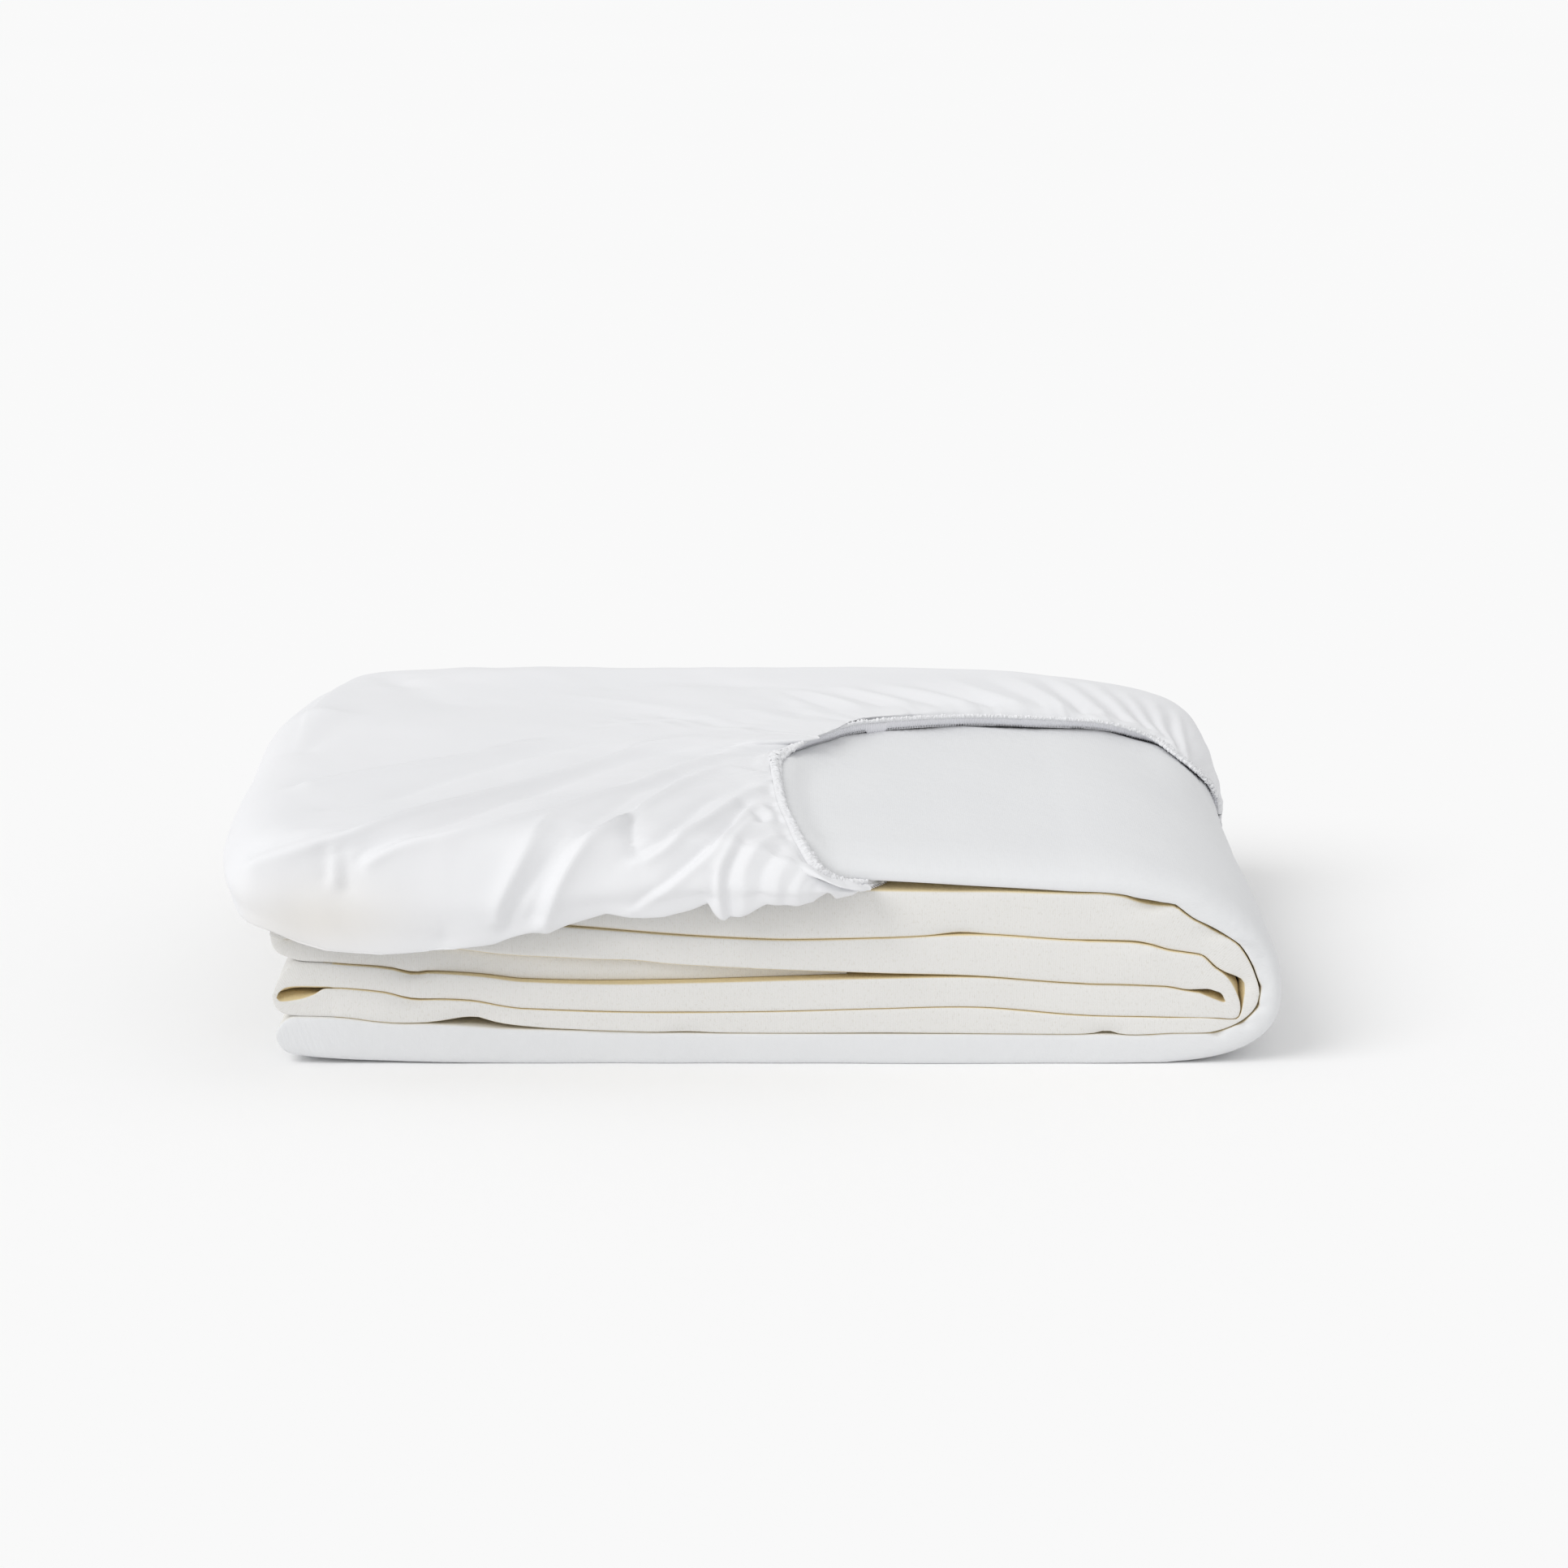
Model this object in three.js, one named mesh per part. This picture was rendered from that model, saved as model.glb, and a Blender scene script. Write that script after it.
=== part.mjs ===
// Folded mattress protector: one wide panel, knitted on one face and coated on the other, folded back and
// forth into a low pile, with its own fitted skirt pulled over one end of the pile as a pocket.
// Millimetres, +Z up. X runs along the folds from the covered end to the open end, Y from the front of the
// pile, where the folded edges show, to its back.

import * as THREE from "three";
import { mergeVertices } from "three/addons/utils/BufferGeometryUtils.js";

// The pile
const PILE_DEPTH = 300;
const LAYER_GAP = 0.8; // air between two passes of the panel
const BACK_RISE = 0.11; // the pile stands this share taller at its back
const RISE_RUN = 240; // depth over which it climbs to that height
const BACK_TAPER = 0.015; // and draws in by this share of its length
const DEPTH_ROWS = [60, 130, 220]; // lines of facets between the front edge and the back edge
const CORNER = 35; // the back corners round off over this length
const CORNER_INSET = 18; // and by this much in depth
const NOSE_STEPS = 3; // facets from a folded edge's tip to the flat of the pass
const NOSE_FIRST = 0.6; // the first of them lies this many steps round from the tip
const NOSE_SHARE = 0.5; // depth of a folded edge, as a share of the pass's thickness
const PASS_STEP = 30; // length of a facet along a pass
const TURN_STEPS = 5; // facets round each half of a turn
const END_STEPS = 3; // facets round the free end of the bottom pass
const END_TIP = 0.5; // and its tip is left this share of a facet wide

// The skirt and its elastic
const SKIRT_SHEET = 1.6; // microfibre with its small folds
const RIB_STEPS = 2; // facets between two rows of the rib table
const PROFILE_STEPS = 2; // facets between two points of a rib
const SHOULDER_SHARE = 0.8; // where the skirt turns down it is this share of the way up to its crown
const CURL_RISE = 6; // it starts to curl in towards its lower edge this far above that edge
const CURL_SHARE = 0.5; // but no more than this share of the way up to its widest line
const BAND_HEIGHT = 6.5; // elastic, standing on edge round the mouth
const BAND_THICKNESS = 1.2;
const SEAM_CLEARANCE = 0.8; // air between the elastic and the skirt's edge
const HEM_ROLL = { distance: 3, share: 0.1 }; // how far the skirt runs on from the hem before it rises

// How far the lines of the skirt lie inside its widest line: a distance, but no more than a share of the
// whole way from the widest line to the mouth.
const INSETS = {
  crown: { distance: 45, share: 0.35 },
  shoulder: { distance: 14, share: 0.25 },
  curl: { distance: 1.5, share: 0.1 },
  low: { distance: 4, share: 0.3 },
};

// The skirt's way from the hem to its crown, as shares of the distance out and of the height.
const CLIMB = [
  { out: 0.2, up: 0.6 },
  { out: 0.6, up: 0.93 },
];

const COLOURS = { panel: 0xe6e3da, skirt: 0xe4e5e8, elastic: 0xcfcfd5 };

// Heights of the lines along the front where two passes meet, at these places along X. Where a pass droops
// away from its neighbour the two sides have a line each.
const SEAM_AT = [-200, -160, -120, -80, -40, 0, 40, 80, 120, 160];
const SEAM_HEIGHTS = {
  table: [2, 0.4, 0, 0, 0, 0, 0, 0, 0, 0.6],
  bottomOver: [20.6, 17.5, 16.3, 14.7, 13.2, 13, 13, 13, 13, 13.2],
  secondUnder: [20.6, 18.8, 18.6, 14.9, 13.2, 13, 13, 13, 13, 13.2],
  secondThird: [33, 29.5, 24.8, 22.6, 22.2, 22.4, 23.8, 24.6, 21.6, 19.4],
  thirdTongue: [43.6, 41, 37.2, 34.5, 34.9, 36, 37, 37.4, 35.3, 33.2],
  tongueFourth: [54.5, 51.6, 47.4, 45.3, 42.3, 40.2, 39, 37.9, 35.6, 33.6],
  fourthFifth: [66, 64.5, 61.8, 58.3, 55, 53.2, 54, 55.6, 53.4, 49.6],
  fifthOver: [82, 82, 81, 80, 78, 75.5, 74.5, 74.2, 72, 67.4],
  topUnder: [84, 84, 83.2, 81.8, 80.2, 79.2, 78.4, 76.2, 73.8, 68.4],
  crest: [88, 91, 92, 91.5, 90.5, 89, 88, 86.4, 84, 79.6],
};

// The passes in the order that the panel is folded, each between two of those lines. A pass runs along X
// from `from` to `to`, and `front` is how far its edge lies behind the pile's face at those two ends.
const PASSES = [
  { name: "bottom", under: "table", over: "bottomOver", from: -202, to: 150, front: [0, 0] },
  { name: "top", under: "topUnder", over: "crest", from: 118, to: -176, front: [0, 0] },
  { name: "fifth", under: "fourthFifth", over: "fifthOver", from: -180, to: 128, front: [1, 0] },
  { name: "second", under: "secondUnder", over: "secondThird", from: 160, to: -186, front: [1, 2] },
  { name: "third", under: "secondThird", over: "thirdTongue", from: -186, to: 172, front: [1, 0] },
  { name: "fourth", under: "tongueFourth", over: "fourthFifth", from: 148, to: -190, front: [0, 0] },
  { name: "tongue", under: "thirdTongue", over: "tongueFourth", from: -190, to: 26, front: [2, 16] },
];

// The turns between them. `reach` and `height` place the outermost point, `thickness` is the cloth's there,
// and `hollow` is the height of the innermost point. The last four say how square the outer and the inner
// line run into the lower and the upper pass: 1 is an ellipse, less is squarer, and over 2 is hollow.
const TURNS = [
  { reach: 207, height: 31.5, thickness: 9.6, hollow: 31.5, outer: [0.85, 0.98], inner: [0.72, 1.1] },
  { reach: -208.5, height: 78, thickness: 7, hollow: 83, outer: [0.9, 0.9], inner: [1, 1] },
  { reach: 196.6, height: 30, thickness: 6.6, hollow: 28, outer: [0.98, 1.1], inner: [0.6, 0.8] },
  { reach: -211, height: 29.5, thickness: 3.6, hollow: 27.5, outer: [0.9, 0.9], inner: [3, 0.5] },
  { reach: 188.6, height: 25, thickness: 3.8, hollow: 25.5, outer: [1, 0.82], inner: [3, 0.8] },
  { reach: -212, height: 55.5, thickness: 5.5, hollow: 53.9, outer: [0.9, 0.9], inner: [1, 1] },
];

// The skirt's ribs, from the front tip of its mouth round the covered end and the back to the open end.
// `rim` is its free edge and `lean` the slope of its hem in degrees, from that edge towards the rest of the
// skirt. `foot` is the place in plan where the skirt comes down, and the others are its heights at its
// crown, at its widest line and at its lowest line.
const SKIRT_RIBS = [
  { rim: [30, -3.4, 80], lean: -60, foot: [30, -9], crown: 77, girth: 76, low: 74 },
  { rim: [21, -4.2, 82.4], lean: -45, foot: [16, -12], crown: 81, girth: 78, low: 73 },
  { rim: [15, -4, 87.2], lean: -20, foot: [1, -13.5], crown: 87, girth: 79, low: 72 },
  { rim: [9, 7, 93.3], lean: 15, foot: [-25, -13], crown: 95, girth: 81, low: 70 },
  { rim: [4.6, 27, 94.6], lean: 40, foot: [-58, -12], crown: 98, girth: 81, low: 66.5 },
  { rim: [1.3, 51, 96.3], lean: 40, foot: [-95, -13], crown: 100, girth: 78, low: 62 },
  { rim: [-0.8, 80, 98], lean: 38, foot: [-140, -14], crown: 101, girth: 75, low: 52 },
  { rim: [-1.6, 100, 99.4], lean: 30, foot: [-188, -14], crown: 102, girth: 76, low: 52.5 },
  { rim: [-1.6, 113, 101.2], lean: 15, foot: [-221, -9], crown: 103, girth: 80, low: 59 },
  { rim: [0, 122, 103], lean: -5, foot: [-231, 26], crown: 104, girth: 86, low: 67 },
  { rim: [3, 131, 104.4], lean: -30, foot: [-230, 110], crown: 105.5, girth: 90, low: 73 },
  { rim: [7, 141, 105.3], lean: -55, foot: [-228, 200], crown: 107, girth: 90, low: 74 },
  { rim: [13, 154, 105.8], lean: -70, foot: [-225, 278], crown: 108, girth: 86, low: 66 },
  { rim: [20, 165, 106], lean: -76, foot: [-203, 306], crown: 108.5, girth: 80, low: 52 },
  { rim: [32, 181, 106], lean: -78, foot: [-125, 310.5], crown: 109, girth: 76, low: 40 },
  { rim: [52, 193, 105.4], lean: -78, foot: [-40, 310], crown: 109.5, girth: 74, low: 35 },
  { rim: [88, 207, 103.8], lean: -78, foot: [45, 310], crown: 109.5, girth: 72, low: 33 },
  { rim: [128, 215, 100.8], lean: -78, foot: [122, 309], crown: 107.5, girth: 70, low: 33 },
  { rim: [150, 218, 98.3], lean: -76, foot: [178, 307], crown: 101, girth: 66, low: 34 },
  { rim: [170, 222, 91.2], lean: -78, foot: [201.5, 299], crown: 92, girth: 60, low: 36 },
  { rim: [182, 214, 84.2], lean: -80, foot: [210.5, 283], crown: 80, girth: 54, low: 37 },
  { rim: [193, 210, 76], lean: -85, foot: [212, 268], crown: 70, girth: 50, low: 37.5 },
  { rim: [203, 212, 64], lean: -90, foot: [212, 253], crown: 60, girth: 47, low: 38 },
];

// ---- curves ----

function lerp(a, b, t) {
  return a + (b - a) * t;
}

function clamp(value, low, high) {
  return Math.min(Math.max(value, low), high);
}

// A smooth line through evenly placed values, at a place counted in rows.
function smoothAt(values, place) {
  const last = values.length - 1;
  const row = clamp(Math.floor(place), 0, last - 1);
  const t = clamp(place - row, 0, 1);
  const b = values[row];
  const c = values[row + 1];
  const a = row > 0 ? values[row - 1] : 2 * b - c;
  const d = row + 2 <= last ? values[row + 2] : 2 * c - b;
  return b + 0.5 * t * (c - a + t * (2 * a - 5 * b + 4 * c - d + t * (3 * (b - c) + d - a)));
}

function smoothPoint(points, place) {
  const along = (axis) => smoothAt(points.map((point) => point[axis]), place);
  return new THREE.Vector3(along("x"), along("y"), along("z"));
}

function seamHeight(name, x) {
  const spacing = SEAM_AT[1] - SEAM_AT[0];
  return smoothAt(SEAM_HEIGHTS[name], (x - SEAM_AT[0]) / spacing);
}

// How much taller the pile is at this depth than at its front.
function rise(y) {
  const left = 1 - clamp(y / RISE_RUN, 0, 1);
  return 1 + BACK_RISE * (1 - left * left);
}

// ---- closed shapes ----

// A closed solid through loops of points that each go out along one side and come back along the other.
function loft(loops) {
  const size = loops[0].length;
  const positions = loops.flat().flatMap((point) => [point.x, point.y, point.z]);
  const faces = [];
  const quad = (a, b, c, d) => faces.push(a, b, c, a, c, d);
  for (let i = 0; i + 1 < loops.length; i++) {
    for (let j = 0; j < size; j++) {
      const next = (j + 1) % size;
      quad(i * size + j, i * size + next, (i + 1) * size + next, (i + 1) * size + j);
    }
  }
  const end = (loops.length - 1) * size;
  for (let j = 0; j + 1 < size / 2; j++) {
    const [near, far] = [size - 1 - j, size - 2 - j];
    quad(j, near, far, j + 1);
    quad(end + j, end + j + 1, end + far, end + near);
  }
  const geometry = new THREE.BufferGeometry();
  geometry.setAttribute("position", new THREE.Float32BufferAttribute(positions, 3));
  geometry.setIndex(signedVolume(positions, faces) < 0 ? faces.reverse() : faces);
  const closed = mergeVertices(geometry);
  closed.computeVertexNormals();
  return closed;
}

function signedVolume(positions, faces) {
  const corner = (index) => new THREE.Vector3().fromArray(positions, faces[index] * 3);
  let volume = 0;
  for (let i = 0; i < faces.length; i += 3) {
    volume += corner(i).dot(corner(i + 1).cross(corner(i + 2))) / 6;
  }
  return volume;
}

// ---- the panel: a strip between two lines, followed through its turns and given the pile's depth ----

function underSide(pass, x) {
  return seamHeight(pass.under, x) + (pass.under === "table" ? 0 : LAYER_GAP / 2);
}

function overSide(pass, x) {
  return seamHeight(pass.over, x) - (pass.over === "crest" ? 0 : LAYER_GAP / 2);
}

// Stations along one pass, each with a point on the face to the left and to the right of the way it runs.
function passStations(pass) {
  const steps = Math.round(Math.abs(pass.to - pass.from) / PASS_STEP);
  return Array.from({ length: steps + 1 }, (_, i) => {
    const x = lerp(pass.from, pass.to, i / steps);
    const over = [x, overSide(pass, x)];
    const under = [x, underSide(pass, x)];
    const front = lerp(pass.front[0], pass.front[1], i / steps);
    return pass.to > pass.from ? { left: over, right: under, front } : { left: under, right: over, front };
  });
}

// A point on a quarter of a turn, from its start on a pass to its farthest reach.
function onQuarter(start, tip, squareness, share) {
  const angle = (share * Math.PI) / 2;
  return [
    start[0] + (tip[0] - start[0]) * Math.sin(angle) ** squareness,
    tip[1] + (start[1] - tip[1]) * Math.cos(angle) ** squareness,
  ];
}

// The inner and the outer line of a turn share their angles, so that its facets never cross.
function turnStations(turn, pass, next) {
  const climbs = seamHeight(next.under, 0) > seamHeight(pass.under, 0);
  const outerIsLeft = climbs === turn.reach < 0;
  const outerTip = [turn.reach, turn.height];
  const innerTip = [turn.reach - Math.sign(turn.reach) * turn.thickness, turn.hollow];
  const half = (run, x, isLower, front, shares) => {
    const under = [x, underSide(run, x)];
    const over = [x, overSide(run, x)];
    const row = isLower ? 0 : 1;
    return shares.map((share) => {
      const outer = onQuarter(isLower ? under : over, outerTip, turn.outer[row], share);
      const inner = onQuarter(isLower ? over : under, innerTip, turn.inner[row], share);
      return { left: outerIsLeft ? outer : inner, right: outerIsLeft ? inner : outer, front };
    });
  };
  const shares = Array.from({ length: TURN_STEPS }, (_, i) => (i + 1) / TURN_STEPS);
  return [
    ...half(pass, pass.to, climbs, pass.front[1], shares),
    ...half(next, next.from, !climbs, next.front[0], shares.slice(0, -1).reverse()),
  ];
}

// The panel's free edge at the covered end of the bottom pass, rounded off.
function freeEnd(station) {
  const middle = (station.left[1] + station.right[1]) / 2;
  const reach = (station.left[1] - station.right[1]) / 2;
  return Array.from({ length: END_STEPS }, (_, i) => {
    const angle = ((END_STEPS - i) / (END_STEPS + END_TIP)) * (Math.PI / 2);
    const x = station.left[0] - reach * Math.sin(angle);
    const at = (z) => [x, middle + (z - middle) * Math.cos(angle)];
    return { left: at(station.left[1]), right: at(station.right[1]), front: station.front };
  });
}

// Depth of the pile's back edge, which rounds off towards both ends.
function backEdge(x) {
  const start = x > 0 ? TURNS[0].reach - CORNER : TURNS[1].reach + CORNER;
  const share = clamp((x - start) / (Math.sign(x) * CORNER), 0, 1);
  return PILE_DEPTH - CORNER_INSET * share * share;
}

// Rows from the front of a pass to its back: how deep each lies, and its share of the full thickness.
function depthRows(front, back, thickness) {
  const nose = thickness * NOSE_SHARE;
  const tips = Array.from({ length: NOSE_STEPS }, (_, i) => {
    const angle = ((i + NOSE_FIRST) / (NOSE_STEPS - 1 + NOSE_FIRST)) * (Math.PI / 2);
    return { inset: nose * (1 - Math.cos(angle)), share: Math.sin(angle) };
  });
  return [
    ...tips.map(({ inset, share }) => ({ y: front + inset, share })),
    ...DEPTH_ROWS.map((y) => ({ y, share: 1 })),
    ...tips.toReversed().map(({ inset, share }) => ({ y: back - inset, share })),
  ];
}

function stationLoop({ left, right, front }) {
  const thickness = Math.hypot(left[0] - right[0], left[1] - right[1]);
  const middle = [(left[0] + right[0]) / 2, (left[1] + right[1]) / 2];
  const rows = depthRows(front, backEdge(middle[0]), thickness);
  const side = (face) =>
    rows.map(({ y, share }) => {
      const x = lerp(middle[0], face[0], share) * (1 - BACK_TAPER * (y / PILE_DEPTH) ** 2);
      const z = lerp(middle[1], face[1], share);
      return new THREE.Vector3(x, y, z * rise(y));
    });
  return [...side(left), ...side(right).reverse()];
}

function panelGeometry() {
  const stations = PASSES.flatMap((pass, index) => {
    const turn = TURNS[index];
    const round = turn ? turnStations(turn, pass, PASSES[index + 1]) : [];
    return [...passStations(pass), ...round];
  });
  return loft([...freeEnd(stations[0]), ...stations].map(stationLoop));
}

// ---- the skirt: a sheet over ribs that run from the elastic to its lowest line ----

// The skirt's free edge at one rib: the way the hem runs from it, and the way its outer face looks.
function hemFrame(rib, index) {
  const rimAt = (row) => new THREE.Vector3(...SKIRT_RIBS[clamp(row, 0, SKIRT_RIBS.length - 1)].rim);
  const edge = rimAt(index);
  const mouth = rimAt(index + 1).sub(rimAt(index - 1));
  const outward = new THREE.Vector3(mouth.y, -mouth.x, 0).normalize().negate();
  const lean = THREE.MathUtils.degToRad(rib.lean);
  const along = outward.clone().multiplyScalar(Math.cos(lean)).setZ(Math.sin(lean));
  const face = outward.clone().multiplyScalar(-Math.sin(lean)).setZ(Math.cos(lean));
  return { edge, along, face, outward };
}

// The points that a rib passes through, from the free edge along the hem, out over the pile and down.
function ribPoints(rib, index) {
  const { edge, along, outward } = hemFrame(rib, index);
  const foot = new THREE.Vector3(...rib.foot, 0);
  const span = foot.clone().sub(edge).setZ(0);
  const reach = span.length();
  span.normalize();
  const inside = ({ distance, share }, z) =>
    foot.clone().addScaledVector(span, -Math.min(distance, share * reach)).setZ(z);
  const onHem = (share) => edge.clone().addScaledVector(along, share * BAND_HEIGHT);
  const leave = onHem(1).addScaledVector(outward, Math.min(HEM_ROLL.distance, HEM_ROLL.share * reach));
  const crown = inside(INSETS.crown, rib.crown);
  const curl = Math.min(rib.low + CURL_RISE, lerp(rib.low, rib.girth, CURL_SHARE));
  return [
    edge,
    onHem(0.5),
    onHem(1),
    leave,
    ...CLIMB.map(({ out, up }) => leave.clone().lerp(crown, out).setZ(lerp(leave.z, rib.crown, up))),
    crown,
    inside(INSETS.shoulder, lerp(rib.girth, rib.crown, SHOULDER_SHARE)),
    foot.clone().setZ(rib.girth),
    inside(INSETS.curl, curl),
    inside(INSETS.low, rib.low),
  ];
}

function skirtSurface() {
  const ribs = SKIRT_RIBS.map(ribPoints);
  const columns = (SKIRT_RIBS.length - 1) * RIB_STEPS;
  const rows = (ribs[0].length - 1) * PROFILE_STEPS;
  return Array.from({ length: columns + 1 }, (_, i) => {
    const rib = ribs[0].map((_, row) => smoothPoint(ribs.map((points) => points[row]), i / RIB_STEPS));
    return Array.from({ length: rows + 1 }, (_, j) => smoothPoint(rib, j / PROFILE_STEPS));
  });
}

// Direction square to a surface that is given as a grid of points.
function surfaceNormal(grid, i, j) {
  const at = (a, b) => grid[clamp(a, 0, grid.length - 1)][clamp(b, 0, grid[0].length - 1)];
  const along = at(i + 1, j).clone().sub(at(i - 1, j));
  const across = at(i, j + 1).clone().sub(at(i, j - 1));
  return along.cross(across).normalize();
}

function skirtGeometry() {
  const grid = skirtSurface();
  return loft(
    grid.map((rib, i) => {
      const normals = rib.map((_, j) => surfaceNormal(grid, i, j).multiplyScalar(SKIRT_SHEET / 2));
      const outside = rib.map((point, j) => point.clone().add(normals[j]));
      const inside = rib.map((point, j) => point.clone().sub(normals[j]));
      return [...outside, ...inside.reverse()];
    }),
  );
}

// ---- the elastic: a flat band on edge round the mouth ----

function elasticGeometry() {
  const depth = SKIRT_SHEET / 2 + SEAM_CLEARANCE;
  const outline = SKIRT_RIBS.map(hemFrame).map(({ edge, along, face }) => {
    const corner = (height, inside) =>
      edge.clone().addScaledVector(along, height * BAND_HEIGHT).addScaledVector(face, -depth - inside);
    return [corner(0, 0), corner(1, 0), corner(1, BAND_THICKNESS), corner(0, BAND_THICKNESS)];
  });
  const steps = (outline.length - 1) * RIB_STEPS;
  return loft(
    Array.from({ length: steps + 1 }, (_, i) =>
      outline[0].map((_, row) => smoothPoint(outline.map((points) => points[row]), i / RIB_STEPS)),
    ),
  );
}

// ---- the whole protector, standing on the table with its middle at the origin ----

function piece(name, geometry, colour, roughness) {
  const material = new THREE.MeshStandardMaterial({ color: colour, roughness, metalness: 0 });
  const mesh = new THREE.Mesh(geometry, material);
  mesh.name = name;
  return mesh;
}

const protector = new THREE.Group();
protector.add(
  piece("top_panel", panelGeometry(), COLOURS.panel, 0.9),
  piece("skirt", skirtGeometry(), COLOURS.skirt, 0.7),
  piece("skirt_elastic", elasticGeometry(), COLOURS.elastic, 0.8),
);
const box = new THREE.Box3().setFromObject(protector, true);
const middle = box.getCenter(new THREE.Vector3());
protector.position.set(-middle.x, -middle.y, -box.min.z);

export default protector;
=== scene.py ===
"""A folded mattress protector: a knitted panel with a coated back, folded back and forth into a low pile, and
its own thin fitted skirt pulled over one end of the pile as a gathered pocket.

The tables hold millimetres in the pile's own axes: X runs along the folds from the middle of the pile, Y from
its front to its back, and Z up from what it lies on. Everything else is in metres.
"""

import math

import bpy
import numpy as np
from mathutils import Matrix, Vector


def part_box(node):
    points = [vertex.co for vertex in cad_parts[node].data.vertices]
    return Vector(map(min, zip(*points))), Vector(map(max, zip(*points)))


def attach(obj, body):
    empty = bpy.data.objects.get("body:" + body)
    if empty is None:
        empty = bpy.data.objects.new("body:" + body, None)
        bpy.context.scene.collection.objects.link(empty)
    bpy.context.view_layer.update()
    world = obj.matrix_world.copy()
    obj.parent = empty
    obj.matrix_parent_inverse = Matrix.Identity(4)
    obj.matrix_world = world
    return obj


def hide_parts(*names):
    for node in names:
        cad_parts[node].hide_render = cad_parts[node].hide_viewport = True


MM = 0.001

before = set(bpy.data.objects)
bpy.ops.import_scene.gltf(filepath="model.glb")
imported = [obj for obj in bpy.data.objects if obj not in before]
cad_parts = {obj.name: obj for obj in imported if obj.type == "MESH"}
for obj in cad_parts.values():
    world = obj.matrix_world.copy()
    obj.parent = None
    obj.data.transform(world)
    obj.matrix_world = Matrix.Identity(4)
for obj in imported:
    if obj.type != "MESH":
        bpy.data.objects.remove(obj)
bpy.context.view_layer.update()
panel_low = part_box("top_panel")[0]
PILE_REACH_LEFT = 212.0  # the pile's axes start this far right of the panel's left end
PILE_FRONT = 0.1  # and this far behind its front
PILE = np.array([panel_low.x + PILE_REACH_LEFT * MM, panel_low.y - PILE_FRONT * MM, panel_low.z])

# ----------------------------------------------------------------------------------------------------------
# The pile

PILE_DEPTH = 300
LAYER_GAP = 0.1
BACK_RISE = 0.11
RISE_RUN = 240
BACK_TAPER = 0.015
CORNER = 35
CORNER_INSET = 18
STATION_STEP = 3.5  # along a pass
TURN_STEPS = 34
END_STEPS = 8
END_TIP = 0.4  # of such a step, left out at the tip of the panel's free end
FORM_STEPS = 12  # places between two given points of a turn
NOSE_STEPS = 16  # round the folded front edge
NOSE_SHARE = 0.16  # a folded edge rounds off over this much of the pass's thickness
NOSE_MOST = 1.7  # or over this much, whichever is less
NOSE_POWER = 4.5  # 2 is round and more is squarer
PLY_SETBACK = 0.6  # of the pass's thickness, from its folded edge to the plies inside it
FOLD_STEPS = 5
FRONT_SHARE, FRONT_ROWS = 0.12, 8  # of the pile's depth, where the rows are closer
BACK_SHARE, DEEP_ROWS = 0.9, 14  # the rows behind them, up to this share of the depth
LAST_PLACES = [0.95, 1.0]  # and the last two rows
INNER_PLACES = [0, 0.04, 0.12, 0.3, 0.5, 0.7, 0.9, 1.0]  # rows of the plies inside, as shares of the depth
INNER_PLY = 0.34  # the inner plies lie this far from the middle, as a share of half the thickness
BACK_FOLD = {"at": -0.67, "half": 0.33}  # joins an outer and an inner ply at the back, in the same shares
INNER_NOSE = 0.2  # the inner fold at the front reaches this share of the thickness past its plies
# Painted crease shade, a deeper cream painted where one folded edge meets the next:
MEETING = {"from": 0.92, "run": 0.08}  # how far round a folded edge it meets the next one
COATED_CREASE_SHADE = 0.3  # share of a seam's painted crease shade that shows on a coated pass
EDGE_SETBACK = 0.8  # of the folded edges behind the pile's face
EDGE_WAVES = [{"pitch": 70, "high": 0.5, "seed": 3}, {"pitch": 23, "high": 0.3, "seed": 4}]
OUTER_PLY = 0.9  # a point past this share of half the thickness is on an outer ply
SOFTNESS = [  # the soft unevenness of the outer plies
    {"along": 55, "deep": 45, "high": 0.5, "seed": 11},
    {"along": 19, "deep": 24, "high": 0.25, "seed": 12},
]
SOFT_ABOVE = {"from": 3, "run": 6}  # there is none where they rest on the floor
SOFT_BEHIND = {"from": 4, "run": 12}  # or at the pile's face

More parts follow.
